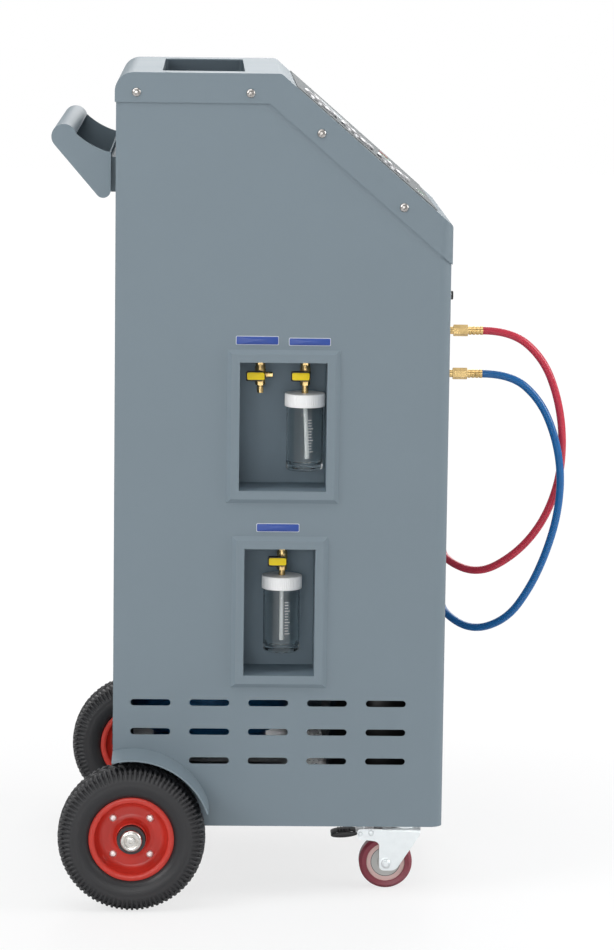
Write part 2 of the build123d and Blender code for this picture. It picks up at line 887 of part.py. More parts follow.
def caster_fork(side):
    """The swivel fork: cup, top plate and two legs, with the wheel's axle and the pedal's pin."""
    y = side * caster_y
    wheel_at = (caster_x - caster_trail, caster_wheel_radius)
    half = caster_wheel_width / 2 + fork_gap + fork_sheet
    race = cabinet_bottom - caster_plate_sheet - 3 - seat_gap
    corners = [
        Pos(*wheel_at) * Circle(12),
        Pos(pedal_pivot_x + 3, fork_top - 8) * Circle(8),
        Pos(caster_x + 10, 60) * Circle(4),
        Pos(caster_x + 30, fork_top - 4) * Circle(4),
    ]
    edges = [edge for corner in corners for edge in corner.edges()]
    inner = half - fork_sheet
    head_start = caster_x - caster_trail - 6
    fork = across(make_hull(edges), y - half, y + half)
    fork -= box((head_start, y - inner, 0), (cabinet_depth, y + inner, fork_top - fork_sheet))
    fork -= box((0, y - inner, 0), (head_start, y + inner, 2 * fork_top))
    cup = Pos(caster_x, y, (fork_top - 1 + race) / 2) * Cylinder(fork_cup_radius, race - fork_top + 1)
    fork += chamfer(cup.edges().sort_by(Axis.Z)[-1], 3)
    fork -= rod((caster_x, y, fork_top - 2 * fork_sheet), (0, 0, 1), kingpin_radius + running_gap, 40)
    axle = rod((wheel_at[0], y - half, wheel_at[1]), (0, 1, 0), caster_axle_radius, 2 * half)
    pin = rod((pedal_pivot_x, y - half, pedal_pivot_z), (0, 1, 0), pedal_pin_radius, 2 * half)
    fork = fork - axle - pin
    for end in (-1, 1):
        axle += hexagon((wheel_at[0], y + end * half, wheel_at[1]), (0, end, 0), 11, 5)
        pin += rod((pedal_pivot_x, y + end * half, pedal_pivot_z), (0, end, 0), 4, 1.5)
    return fork, axle, pin


def caster_wheel(side):
    half = caster_wheel_width / 2
    bore = caster_axle_radius + running_gap
    outer = caster_wheel_radius
    section = [
        (bore, -half),
        (10, -half),
        (12, 4 - half),
        (26, 4 - half),
        (28, 1 - half),
        (outer - 4, -half),
        (outer, 5 - half),
    ]
    section = section + [(r, -y) for r, y in reversed(section)]
    place = Pos(caster_x - caster_trail, side * caster_y, caster_wheel_radius)
    return place * turned(section, Axis.Y)


def caster_brake(side):
    """The brake pedal: a tube on the pin, a foot plate behind it and a shoe above the tread."""
    y = side * caster_y
    half = caster_wheel_width / 2 + fork_gap - 0.5
    tip = pedal_pivot_x - pedal_length
    arm = [
        Pos(pedal_pivot_x, pedal_pivot_z) * Circle(5),
        Pos(pedal_pivot_x - 8, pedal_pivot_z + 1) * Circle(3),
    ]
    flat = make_hull([edge for part in arm for edge in part.edges()])
    blade = trace(Line((pedal_pivot_x - 5, pedal_pivot_z + 1), (tip, pedal_pivot_z - 3)), 3)
    pad = trace(Line((tip + 20, pedal_pivot_z - 1.5), (tip - 3, pedal_pivot_z - 3.5)), 6)
    turn = math.radians(240)
    shoe_end = (pedal_pivot_x + 11 * math.cos(turn), pedal_pivot_z + 11 * math.sin(turn))
    shoe = trace(Line((pedal_pivot_x, pedal_pivot_z), shoe_end), 4)
    bore = Pos(pedal_pivot_x, pedal_pivot_z) * Circle(pedal_pin_radius + running_gap)
    return across(flat + blade + pad + shoe - bore, y - half, y + half)


# Niches, valves and bottles
def niche(x, z, width, valve_places):
    """An open steel box behind its window, pierced for the valves in its ceiling."""
    depth_back = niche_depth - side_face
    outer = Pos(x, z) * Rectangle(width + 2 * niche_sheet, niche_height + 2 * niche_sheet)
    inner = Pos(x, z) * Rectangle(width, niche_height)
    shell = across(outer, -side_face, depth_back)
    shell -= across(inner, -side_face - 1, depth_back - niche_sheet)
    for place in valve_places:
        shell -= rod((place, valve_y, z + niche_height / 2 - 1), (0, 0, 1), inlet_radius + 0.05, 10)
    return shell


def niche_frame(x, z, width):
    """A bevelled border round a niche."""
    wide = width + 2 * niche_border
    high = niche_height + 2 * niche_border
    base = side_plane(-side_face) * Pos(x, z) * Rectangle(wide, high)
    face = side_plane(-side_face - niche_bevel) * Pos(x, z) * Rectangle(
        wide - 2 * niche_bevel, high - 2 * niche_bevel
    )
    opening = Pos(x, z) * Rectangle(width, niche_height)
    return loft([base, face]) - across(opening, -side_face - niche_bevel - 1, -side_face + 1)


def valve(x, ceiling, outlet_end):
    """A ball valve screwed up into a niche ceiling, with its stem boss towards the front."""
    place = (x, valve_y, ceiling)
    body = rod(place, (0, 0, 1), inlet_radius, 12)
    body += hexagon((x, valve_y, ceiling - 8), (0, 0, 1), valve_hex, 8)
    body += hexagon((x, valve_y, ceiling - 36), (0, 0, 1), valve_hex, 8)
    profile = [
        (0, ceiling - 32),
        (6.2, ceiling - 32),
        (valve_body / 2, ceiling - 27),
        (valve_body / 2, ceiling - 13),
        (6.2, ceiling - 7),
        (0, ceiling - 7),
    ]
    middle = revolve(Plane.XZ * make_face(Polyline(*profile, close=True)), Axis.Z)
    body += Pos(x, valve_y) * middle
    body += rod((x, valve_y, outlet_end), (0, 0, 1), valve_outlet_radius, ceiling - 30 - outlet_end)
    lever_z = ceiling - valve_drop
    body += rod((x, valve_y, lever_z), (0, -1, 0), 5.5, boss_length)
    stem_hole = valve_stem_radius + valve_clearance
    body -= rod((x, valve_y - boss_length - 1, lever_z), (0, 1, 0), stem_hole, 8)
    return body


def ball_valves():
    """The three valves; the dye valve keeps an open outlet and carries a test plug."""
    upper = upper_niche_z + niche_height / 2
    lower = lower_niche_z + niche_height / 2
    dye = valve(dye_valve_x, upper, upper - oil_cap_drop)
    dye += hexagon((dye_valve_x, valve_y, upper - valve_drop), (1, 0, 0), 7, 17)
    dye -= rod((dye_valve_x, valve_y, upper - 50), (0, 0, 1), valve_outlet_bore, 18)
    oil = valve(oil_valve_x, upper, upper - oil_cap_drop - 4)
    drain = valve(drain_valve_x, lower, lower - drain_cap_drop - 4)
    return dye, oil, drain


def valve_lever(x, niche_z):
    """A lever plate with its stem, lying across the pipe."""
    z = niche_z + niche_height / 2 - valve_drop
    flat = Pos(-lever_reach / 2, 0) * RectangleRounded(lever_reach, lever_height, 2.5)
    flat += Pos(-lever_reach / 4, 0) * Rectangle(lever_reach / 2, lever_height)
    flat += Circle(lever_height / 2)
    front = valve_y - boss_length - seat_gap
    plate = across(Pos(x, z) * flat, front - lever_thickness, front)
    plate = chamfer(plate.faces().sort_by(Axis.Y)[0].edges(), 0.8)
    return plate + rod((x, front, z), (0, 1, 0), valve_stem_radius, 6)


def bottle_cap(x, ceiling, drop, lean):
    """A screw cap round a valve outlet with the dip tube that hangs in the bottle."""
    top = ceiling - drop
    plate = 3.0
    outlet = valve_outlet_radius + valve_clearance
    inner = bottle_radius + bottle_clearance
    profile = [
        (outlet, top),
        (cap_radius - 1.2, top),
        (cap_radius, top - 1.2),
        (cap_radius, top - cap_height),
        (inner, top - cap_height),
        (inner, top - plate),
        (outlet, top - plate),
    ]
    cap = turned_upright(profile, x, valve_y)
    direction = (math.sin(math.radians(lean)), 0, -math.cos(math.radians(lean)))
    tube = rod((x + 8, valve_y, top - plate + 1), direction, dip_tube_radius, bottle_length + 2)
    tube -= rod((x + 8, valve_y, top - plate - 3), direction, dip_tube_radius - 1, bottle_length + 9)
    return cap + tube


def bottle(x, ceiling, drop):
    """A clear bottle with a thick base, its neck inside the cap."""
    rim_z = ceiling - drop - 3 - seat_gap
    base = ceiling - drop - cap_height - bottle_length
    outer = bottle_radius
    inner = outer - bottle_wall
    profile = [
        (0, base + 1.5),
        (outer - 9, base + 1.5),
        (outer - 7, base),
        (outer - 2, base),
        (outer, base + 2),
        (outer, rim_z),
        (inner, rim_z),
        (inner, base + bottle_base + 3),
        (inner - 3, base + bottle_base),
        (0, base + bottle_base),
    ]
    return Pos(x, valve_y) * revolve(Plane.XZ * make_face(Polyline(*profile, close=True)), Axis.Z)


# Hoses and couplers
def hose_coupling(z):
    """A bulkhead union with the hose's nut and crimped ferrule."""
    start = front_face
    tail = rod((start - 18, port_y, z), (1, 0, 0), port_thread_radius, 18 + port_reach)
    tail += hexagon((start, port_y, z), (1, 0, 0), 18, 8)
    tail += hexagon((start + port_reach, port_y, z), (1, 0, 0), 2 * hose_nut_radius * 0.9, hose_nut_length)
    neck = start + port_reach + hose_nut_length
    tail += rod((neck, port_y, z), (1, 0, 0), 5, ferrule_neck)
    return tail + ferrule(Plane(origin=(hose_start_x, port_y, z), z_dir=(-1, 0, 0)))


def ferrule(place):
    """A crimped ferrule that runs from the hose's end along the plane's axis."""
    profile = [(0, 0), (ferrule_radius, 0)]
    for step in range(3):
        at = 3.5 + 5.5 * step
        profile += [
            (ferrule_radius, at),
            (ferrule_radius - 0.8, at + 0.7),
            (ferrule_radius - 0.8, at + 2),
            (ferrule_radius, at + 2.7),
        ]
    profile += [(ferrule_radius, ferrule_length), (0, ferrule_length)]
    return place * revolve(Plane.XZ * make_face(Polyline(*profile, close=True)), Axis.Z)


def quick_coupler(x, z):
    """An elbow coupler parked on its stud: hose tail below, barrel along Y."""
    hose_end = z - coupler_drop
    part = ferrule(Plane(origin=(x, coupler_y, hose_end)))
    neck = hose_end + ferrule_length
    part += rod((x, coupler_y, neck), (0, 0, 1), 5, z - 9 - neck)
    part += hexagon((x, coupler_y, neck + 2), (0, 0, 1), 14, 9)
    sleeve = coupler_radius
    mouth = coupler_y - 18
    section = [
        (stud_radius + running_gap, mouth),
        (sleeve - 1, mouth),
        (sleeve, mouth + 1),
        (sleeve, mouth + 13),
        (sleeve - 2, mouth + 15),
        (sleeve - 2, mouth + 26),
        (sleeve, mouth + 28),
        (sleeve, mouth + 34),
        (spindle_radius + running_gap, mouth + 34),
        (spindle_radius + running_gap, mouth + 20),
        (0, mouth + 20),
        (0, mouth + 15),
        (stud_radius + running_gap, mouth + 15),
    ]
    barrel = turned(section, Axis.Y)
    part -= Pos(x, 0, z) * turned([(0, mouth), (6.6, mouth), (6.6, mouth + 15), (0, mouth + 15)], Axis.Y)
    return part + Pos(x, 0, z) * barrel


def coupler_knob(x, z):
    """A fluted hand knob with the spindle that opens the coupler."""
    low = coupler_y + 16 + seat_gap
    knob = rod((x, low, z), (0, 1, 0), knob_radius, knob_length)
    knob = chamfer(knob.faces().sort_by(Axis.Y)[-1].edges(), 2)
    for step in range(8):
        turn = math.radians(45 * step)
        reach = knob_radius + 2.5
        groove = (x + reach * math.cos(turn), low - 1, z + reach * math.sin(turn))
        knob -= rod(groove, (0, 1, 0), 4.5, knob_length + 2)
    return knob + rod((x, low - 12, z), (0, 1, 0), spindle_radius, 12)


def coupler_holder():
    """Two stud plates fixed to the far side panel, joined by a strap."""
    low = side_face
    plates = [(red_coupler_x, red_coupler_z), (blue_coupler_x, blue_coupler_z)]
    whole = []
    for x, z in plates:
        flat = Pos(x, z) * RectangleRounded(holder_size, holder_size, 8)
        for end in (-1, 1):
            flat -= Pos(x + end * 20, z + end * 20) * Circle(2.6)
        piece = across(flat, low, low + holder_sheet)
        piece += rod((x, low, z), (0, 1, 0), 10, coupler_y - 18 - low - seat_gap)
        piece += rod((x, low, z), (0, 1, 0), stud_radius, coupler_y - 5 - low)
        whole.append(piece)
    strap = trace(Line(*plates), 26)
    bar = across(strap, low, low + holder_sheet)
    return whole[0] + whole[1] + bar


def hose(points):
    """A hose of straight runs and arcs; its bend radii come from the runs beside each corner."""
    radii = []
    for before, corner, after in zip(points, points[1:], points[2:]):
        first = Vector(*corner) - Vector(*before)
        second = Vector(*after) - Vector(*corner)
        half_turn = math.radians(first.get_angle(second) / 2)
        shorter = min(first.length, second.length)
        radii.append(min(bend_share * shorter / math.tan(half_turn), 2000.0))
    path = FilletPolyline(*points, radius=radii)
    print("bend radii", [round(radius) for radius in radii], "length", round(path.length, 1))
    section = Plane(origin=path @ 0, z_dir=path % 0) * Circle(hose_diameter / 2)
    return sweep(section, path=path)


red_hose_points = [
    (hose_start_x, port_y, red_port_z),
    (338, 60, red_port_z),
    (385, 69, 728),
    (409, 77, 670),
    (419, 85, 606),
    (415, 93, 542),
    (394, 101, 481),
    (356, 112, 431),
    (302, 130, 396),
    (251, 173, 411),
    (253, 226, 432),
    (233, 277, 450),
    (187, 295, 482),
    (154, 291, 537),
    (red_coupler_x, coupler_y, 604),
    (red_coupler_x, coupler_y, red_coupler_z - coupler_drop),
]
blue_hose_points = [
    (hose_start_x, port_y, blue_port_z),
    (338, 60, blue_port_z),
    (381, 63, 668),
    (405, 66, 615),
    (416, 72, 557),
    (413, 80, 497),
    (399, 89, 440),
    (377, 99, 384),
    (344, 113, 332),
    (294, 140, 309),
    (251, 180, 330),
    (253, 231, 350),
    (231, 280, 368),
    (182, 296, 393),
    (131, 293, 430),
    (blue_coupler_x, coupler_y, 481),
    (blue_coupler_x, coupler_y, blue_coupler_z - coupler_drop),
]


# Plant inside the cabinet
def equipment_shelf():
    """The upper shelf behind the upper niche, with flanges turned down at both long edges."""
    rear = rear_face + rear_panel_flange + seat_gap
    front = front_face - sheet - seat_gap
    near = niche_depth - side_face + 10
    far = side_inner - seat_gap
    plan = Pos((rear + front) / 2, (near + far) / 2) * Rectangle(front - rear, far - near)
    plan = round_corner(plan, (front, far), front_corner_radius)
    shelf = upright(plan, shelf_z, shelf_z + shelf_sheet)
    for y in (near, far - shelf_sheet):
        shelf += box(
            (rear, y, shelf_z - base_flange),
            (front - front_corner_radius, y + shelf_sheet, shelf_z),
        )
    return shelf


def refrigerant_tank():
    """A welded storage cylinder on a foot ring, with a collar round its valves."""
    low = base_top + scale_height
    top = low + tank_height
    radius = tank_radius
    profile = [
        (80, low),
        (83, low),
        (83, low + 22),
        (radius - 8, low + 30),
        (radius, low + 45),
        (radius, top - 90),
        (radius - 8, top - 72),
        (80, top - 56),
        (62, top - 52),
        (62, top),
        (59, top),
        (59, top - 52),
        (0, top - 50),
        (0, low + 12),
        (80, low + 18),
    ]
    wall = tank_wall
    cavity = [
        (0, low + 12 + wall),
        (80, low + 18 + wall),
        (radius - 10, low + 30 + wall),
        (radius - wall, low + 46),
        (radius - wall, top - 91),
        (radius - 10, top - 72 - wall),
        (60, top - 54 - wall),
        (0, top - 52 - wall),
    ]
    tank = turned_upright(profile, tank_x, tank_y) - turned_upright(cavity, tank_x, tank_y)
    for y in (-24, 24):
        place = (tank_x, tank_y + y, top - 54)
        tank += rod(place, (0, 0, 1), 9, 22) + rod((tank_x, tank_y + y, top - 34), (0, 0, 1), 14, 12)
    return tank


def turned_upright(profile, x, y):
    """A solid of revolution about a vertical axis at x and y, from radii and heights."""
    return Pos(x, y) * revolve(Plane.XZ * make_face(Polyline(*profile, close=True)), Axis.Z)


def tank_scale():
    """The weighing platform under the tank."""
    half = scale_size / 2
    low = base_top
    plate = box((tank_x - half, tank_y - half, low), (tank_x + half, tank_y + half, low + 8))
    plate += box((tank_x - 40, tank_y - 25, low), (tank_x + 40, tank_y + 25, low + scale_height - 4))
    top_low = low + scale_height - 6
    top = box((tank_x - half, tank_y - half, top_low), (tank_x + half, tank_y + half, top_low + 6))
    return plate + top


def compressor():
    """A hermetic compressor on its base plate, with its terminal cover and stub pipes."""
    low = base_top
    radius = compressor_radius
    high = low + compressor_height
    profile = [
        (0, low + 14),
        (radius - 18, low + 14),
        (radius - 4, low + 24),
        (radius, low + 40),
        (radius, high - 55),
        (radius - 3, high - 30),
        (radius - 14, high - 12),
        (radius - 34, high - 2),
        (0, high),
    ]
    pot = turned_upright(profile, compressor_x, compressor_y)
    plate = Pos(compressor_x, compressor_y) * RectangleRounded(2 * compressor_plate, 2 * compressor_plate, 12)
    pot += upright(plate, low + 10, low + 15)
    for x in (-1, 1):
        for y in (-1, 1):
            foot = (compressor_x + x * (radius - 10), compressor_y + y * (radius - 10), low)
            pot += rod(foot, (0, 0, 1), 9, 10)
    seam = (compressor_x, compressor_y, low + 92)
    pot += rod(seam, (0, 0, 1), radius + 2, 5)
    pot += rod((compressor_x, compressor_y, high - 8), (0, 0, 1), 5, 40)
    return pot


def vacuum_pump():
    """A vane pump: finned motor, pump case and exhaust, on two feet."""
    y_low = pump_y - pump_length / 2
    centre_z = base_top + pump_lift + pump_radius
    case_start = y_low + pump_length * pump_motor_share
    core = pump_radius - pump_fin_height
    motor = rod((pump_x, y_low, centre_z), (0, 1, 0), core, case_start - y_low)
    for step in range(pump_fins):
        at = y_low + (step + 1) * pump_fin_pitch
        motor += rod((pump_x, at, centre_z), (0, 1, 0), pump_radius, pump_fin_sheet)
    motor += box(
        (pump_x - pump_case_width / 2, case_start, centre_z - pump_case_low),
        (pump_x + pump_case_width / 2, y_low + pump_length, centre_z + pump_case_high),
    )
    filler = (pump_x, (case_start + y_low + pump_length) / 2, centre_z + pump_case_low)
    motor += rod(filler, (0, 0, 1), pump_filler_radius, pump_filler_height)
    half_foot = pump_foot_width / 2
    for at in (y_low + pump_foot_length, case_start + pump_foot_length):
        foot_top = centre_z - pump_case_low + pump_lift
        motor += box((pump_x - half_foot, at, base_top), (pump_x + half_foot, at + pump_foot_length, foot_top))
    return motor


def condenser():
    """A finned heat exchanger with the bar and shaft that carry the fan."""
    half = condenser_size / 2
    low = (condenser_x - condenser_thickness / 2, condenser_y - half, condenser_z - half)
    high = (condenser_x + condenser_thickness / 2, condenser_y + half, condenser_z + half)
    frame = box(low, high)
    frame -= box(
        (low[0] - 1, low[1] + 8, low[2] + 8),
        (high[0] + 1, high[1] - 8, high[2] - 8),
    )
    pitch = (condenser_size - 16) / fin_count
    for step in range(1, fin_count):
        y = low[1] + 8 + step * pitch
        frame += box((low[0] + 4, y - 0.6, low[2] + 4), (high[0] - 10, y + 0.6, high[2] - 4))
    for step in range(tube_rows):
        z = low[2] + (step + 0.5) * condenser_size / tube_rows
        frame += rod((condenser_x, low[1] - tube_bend, z), (0, 1, 0), tube_radius, tube_bend + 4)
    frame += box((high[0] - 8, low[1] + 4, condenser_z - 8), (high[0], high[1] - 4, condenser_z + 8))
    frame += rod((high[0] - 1, condenser_y, condenser_z), (1, 0, 0), fan_motor_radius, fan_seat + 1)
    frame += rod((high[0] - 1, condenser_y, condenser_z), (1, 0, 0), spindle_radius, 34)
    return frame


def condenser_fan():
    """A hub with twisted blades on the condenser's shaft."""
    start = condenser_x + condenser_thickness / 2 + fan_seat + seat_gap
    hub_part = rod((start, condenser_y, condenser_z), (1, 0, 0), fan_hub_radius, fan_hub_depth)
    root = 0.7 * fan_hub_radius
    for step in range(fan_blades):
        blade = Box(fan_blade_sheet, fan_blade_chord, fan_radius - root)
        blade = Pos(0, 0, (fan_radius + root) / 2) * Rot(0, 0, 30) * blade
        turned_blade = Rot(360 / fan_blades * step, 0, 0) * blade
        hub_part += Pos(start + fan_hub_depth / 2, condenser_y, condenser_z) * turned_blade
    bore = spindle_radius + running_gap
    return hub_part - rod((start - 1, condenser_y, condenser_z), (1, 0, 0), bore, 30)


def manifold():
    """A valve block behind the ports on its stand, with three solenoid coils."""
    face = front_face - 18 - seat_gap
    block_low = blue_port_z - manifold_margin
    block_high = red_port_z + manifold_margin
    left = port_y - manifold_width / 2
    right = port_y + manifold_width / 2
    back = face - manifold_thickness
    block = box((back, left, block_low), (face, right, block_high))
    stand_low = shelf_z + shelf_sheet
    block += box((back, left, stand_low), (back + manifold_stand, right, block_low))
    block += box((back, left, stand_low), (face, right, stand_low + manifold_stand / 2))
    coil_start = back - coil_length - coil_pin_length / 2
    for z in (block_low + manifold_margin, (block_low + block_high) / 2, block_high - manifold_margin):
        block += rod((coil_start, port_y, z), (1, 0, 0), coil_radius, coil_length)
        block += rod((back - coil_pin_length, port_y, z), (1, 0, 0), coil_pin_radius, coil_pin_length + 1)
    return block


def filter_drier():
    """A filter drier can with domed ends and stub pipes."""
    low = shelf_z + shelf_sheet
    radius = drier_radius
    profile = [
        (0, low),
        (radius - 8, low),
        (radius, low + 12),
        (radius, low + drier_length - 14),
        (radius - 12, low + drier_length - 3),
        (7, low + drier_length),
        (7, low + drier_length + 25),
        (0, low + drier_length + 25),
    ]
    return turned_upright(profile, drier_x, drier_y)


def power_unit():
    """The electrical box on the far side panel, with cooling slots in its face."""
    far = side_inner - seat_gap
    low = power_box_z - power_box_height / 2
    left = power_box_x - power_box_width / 2
    case = box(
        (left, far - power_box_depth, low),
        (left + power_box_width, far, low + power_box_height),
    )
    for step in range(6):
        x = left + 25 + step * 22
        slot = box((x, far - power_box_depth - 1, low + 20), (x + 6, far - power_box_depth + 2, low + 80))
        case -= slot
    return case


def mains_inlet():
    """A flanged inlet with three pins in the rear panel."""
    place_y = inlet_y
    inset = 20.0
    flange = box(
        (rear_face - 2.5, place_y - 27, inlet_z - 17),
        (rear_face, place_y + 27, inlet_z + 17),
    )
    shell = box(
        (rear_face, place_y - inlet_width / 2, inlet_z - inlet_height / 2),
        (rear_face + inlet_depth, place_y + inlet_width / 2, inlet_z + inlet_height / 2),
    )
    shell += flange
    shell -= box(
        (rear_face - 3, place_y - 14, inlet_z - 9),
        (rear_face + inset, place_y + 14, inlet_z + 9),
    )
    for y, z in ((0, 4), (-7, -3), (7, -3)):
        shell += box(
            (rear_face + 4, place_y + y - 1, inlet_z + z - 2.5),
            (rear_face + inset + 1, place_y + y + 1, inlet_z + z + 2.5),
        )
    return shell


upper_ceiling = upper_niche_z + niche_height / 2
lower_ceiling = lower_niche_z + niche_height / 2

if __name__ == "__main__":
    os.makedirs("parts", exist_ok=True)
    save("base_tray", base_tray())
    save("left_side_panel", left_side_panel())
    save("right_side_panel", right_side_panel())
    save("front_panel", front_panel())
    save("rear_panel", rear_panel())
    save("top_cover", top_cover())
    save("tool_tray", tool_tray())
    save("push_handle", push_handle())
    save("fenders", fender(-1), fender(1))
    save("upper_niche", niche(upper_niche_x, upper_niche_z, upper_niche_width, (dye_valve_x, oil_valve_x)))
    save("lower_niche", niche(lower_niche_x, lower_niche_z, lower_niche_width, (drain_valve_x,)))
    save(
        "niche_frames",
        niche_frame(upper_niche_x, upper_niche_z, upper_niche_width),
        niche_frame(lower_niche_x, lower_niche_z, lower_niche_width),
    )
    save("ball_valves", *ball_valves())
    save("dye_valve_lever", valve_lever(dye_valve_x, upper_niche_z))
    save("oil_valve_lever", valve_lever(oil_valve_x, upper_niche_z))
    save("drain_valve_lever", valve_lever(drain_valve_x, lower_niche_z))
    save(
        "bottle_caps",
        bottle_cap(oil_valve_x, upper_ceiling, oil_cap_drop, dip_tube_lean),
        bottle_cap(drain_valve_x, lower_ceiling, drain_cap_drop, 0),
    )
    save("fresh_oil_bottle", bottle(oil_valve_x, upper_ceiling, oil_cap_drop))
    save("waste_oil_bottle", bottle(drain_valve_x, lower_ceiling, drain_cap_drop))
    save("console_panel", console_panel())
    save("control_bezels", *control_bezels())
    save("low_pressure_needle", needle(0, -60))
    save("high_pressure_needle", needle(1, -60))
    save("tank_pressure_needle", needle(2, -60))
    mode = button_body(button_radius, button_well, button_proud, button_travel, console_sheet)
    save("mode_button", on_console(button_s, gauge_y) * mode)
    save("start_key", key(0))
    save("stop_key", key(1))
    power = button_body(power_radius, power_depth, power_proud, power_travel, 0)
    save("power_button", front_plane * power)
    save("mains_inlet", mains_inlet())
    save("hose_couplings", hose_coupling(red_port_z), hose_coupling(blue_port_z))
    save("red_hose", hose(red_hose_points))
    save("blue_hose", hose(blue_hose_points))
    save(
        "quick_couplers",
        quick_coupler(red_coupler_x, red_coupler_z),
        quick_coupler(blue_coupler_x, blue_coupler_z),
    )
    save("red_coupler_knob", coupler_knob(red_coupler_x, red_coupler_z))
    save("blue_coupler_knob", coupler_knob(blue_coupler_x, blue_coupler_z))
    save("coupler_holder", coupler_holder())
    for name, side in (("left", -1), ("right", 1)):
        save(f"{name}_tyre", tyre(side))
        save(f"{name}_rim", rim(side))
        save(f"{name}_hub", hub(side))
        save(f"{name}_caster_fork", *caster_fork(side))
        save(f"{name}_caster_wheel", caster_wheel(side))
        save(f"{name}_caster_brake", caster_brake(side))
    save("rear_axle", rear_axle())
    save("caster_plates", caster_plate(-1), caster_plate(1))
    save("refrigerant_tank", refrigerant_tank())
    save("tank_scale", tank_scale())
    save("compressor", compressor())
    save("vacuum_pump", vacuum_pump())
    save("condenser", condenser())
    save("condenser_fan", condenser_fan())
    save("manifold", manifold())
    save("equipment_shelf", equipment_shelf())
    save("filter_drier", filter_drier())
    save("power_unit", power_unit())
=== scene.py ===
"""Looks for an air conditioning recharge station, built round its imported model.

Sizes below are in millimetres about the middle of the cabinet, with X to the front panel, Y to the
far side and Z up from the floor. place() turns them into metres in the model's own frame.
"""

import math

import bmesh
import bpy
import numpy as np
from bpy.props import FloatProperty, FloatVectorProperty, PointerProperty
from mathutils import Matrix, Vector


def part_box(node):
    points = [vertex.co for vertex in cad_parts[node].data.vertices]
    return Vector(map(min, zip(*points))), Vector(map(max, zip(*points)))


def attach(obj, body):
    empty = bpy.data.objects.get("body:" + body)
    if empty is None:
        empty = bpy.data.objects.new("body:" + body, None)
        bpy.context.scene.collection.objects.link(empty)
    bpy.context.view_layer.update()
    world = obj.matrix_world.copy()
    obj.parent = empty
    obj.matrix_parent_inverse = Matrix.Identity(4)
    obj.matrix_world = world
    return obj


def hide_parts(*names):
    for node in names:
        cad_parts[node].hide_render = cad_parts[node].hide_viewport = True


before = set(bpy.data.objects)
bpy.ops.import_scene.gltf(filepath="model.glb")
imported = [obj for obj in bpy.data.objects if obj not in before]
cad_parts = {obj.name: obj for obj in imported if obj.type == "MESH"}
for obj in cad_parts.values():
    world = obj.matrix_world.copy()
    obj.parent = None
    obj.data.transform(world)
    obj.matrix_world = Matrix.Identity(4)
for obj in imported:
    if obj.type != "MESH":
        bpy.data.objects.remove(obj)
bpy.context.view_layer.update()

bl_info = {
    "name": "Recharge Station Looks",
    "version": (1, 0, 0),
    "blender": (4, 5, 0),
    "location": "3D View > Sidebar > Station",
    "description": "Finishes, fittings and small parts for a wheeled recharge station",
    "category": "Object",
}

front_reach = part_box("front_panel")[1][0]
half_depth = 0.230
ahead = front_reach - half_depth

slope_start = -6.0
slope_turn = math.radians(40.8)
cabinet_top = 1150.0
side_face = -250.0
cover_face = -251.8
dial_height = 0.5
gauge_spots = [(72.0, -150.0), (139.0, -150.0), (206.0, -150.0)]
console_out = np.array([math.sin(slope_turn), 0.0, math.cos(slope_turn)])
console_down = np.array([math.cos(slope_turn), 0.0, -math.sin(slope_turn)])
console_across = np.array([0.0, 1.0, 0.0])

# The hoses' control points, in metres about the middle of the cabinet.
red_route = [
    (0.296, 0.060, 0.768),
    (0.338, 0.060, 0.768),
    (0.385, 0.069, 0.728),
    (0.409, 0.077, 0.670),
    (0.419, 0.085, 0.606),
    (0.415, 0.093, 0.542),
    (0.394, 0.101, 0.481),
    (0.356, 0.112, 0.431),
    (0.302, 0.130, 0.396),
    (0.251, 0.173, 0.411),
    (0.253, 0.226, 0.432),
    (0.233, 0.277, 0.450),
    (0.187, 0.295, 0.482),
    (0.154, 0.291, 0.537),
    (0.150, 0.290, 0.604),
    (0.150, 0.290, 0.672),
]
blue_route = [
    (0.296, 0.060, 0.705),
    (0.338, 0.060, 0.705),
    (0.381, 0.063, 0.668),
    (0.405, 0.066, 0.615),
    (0.416, 0.072, 0.557),
    (0.413, 0.080, 0.497),
    (0.399, 0.089, 0.440),
    (0.377, 0.099, 0.384),
    (0.344, 0.113, 0.332),
    (0.294, 0.140, 0.309),
    (0.251, 0.180, 0.330),
    (0.253, 0.231, 0.350),
    (0.231, 0.280, 0.368),
    (0.182, 0.296, 0.393),
    (0.131, 0.293, 0.430),
    (0.094, 0.290, 0.481),
    (0.094, 0.290, 0.535),
]


# Places and frames
def place(x, y, z):
    """A place given in millimetres about the cabinet's middle, in metres in the model's frame."""
    return np.array([x / 1000 + ahead, y / 1000, z / 1000])


def on_console(s, y, height):
    """A place on the sloping console: s down the slope, y across, height above its sheet."""
    spot = place(slope_start, y, cabinet_top)
    return spot + (console_down * s + console_out * height) / 1000


def axes_from(normal, hint=(0.0, 0.0, 1.0)):
    """Two unit directions square to normal, the second as near to hint as it can be."""
    normal = np.asarray(normal, float)
    side = np.cross(hint, normal)
    side = side / np.linalg.norm(side)
    return side, np.cross(normal, side)


# Meshes
def new_object(name, mesh, body, material, smooth=True):
    piece = bpy.data.objects.new(name, mesh)
    bpy.context.scene.collection.objects.link(piece)
    if material is not None:
        mesh.materials.append(material)
    if smooth:
        mesh.polygons.foreach_set("use_smooth", np.ones(len(mesh.polygons), bool))
    if body:
        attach(piece, body)
    return piece


def tidy_mesh(mesh, distance=1e-6):
    """Merges doubled points, drops faces without area and turns the faces outwards."""
    work = bmesh.new()
    work.from_mesh(mesh)
    bmesh.ops.remove_doubles(work, verts=work.verts, dist=distance)
    bmesh.ops.dissolve_degenerate(work, edges=work.edges, dist=distance / 10)
    bmesh.ops.recalc_face_normals(work, faces=work.faces)
    work.to_mesh(mesh)
    work.free()
    mesh.update()
    return mesh


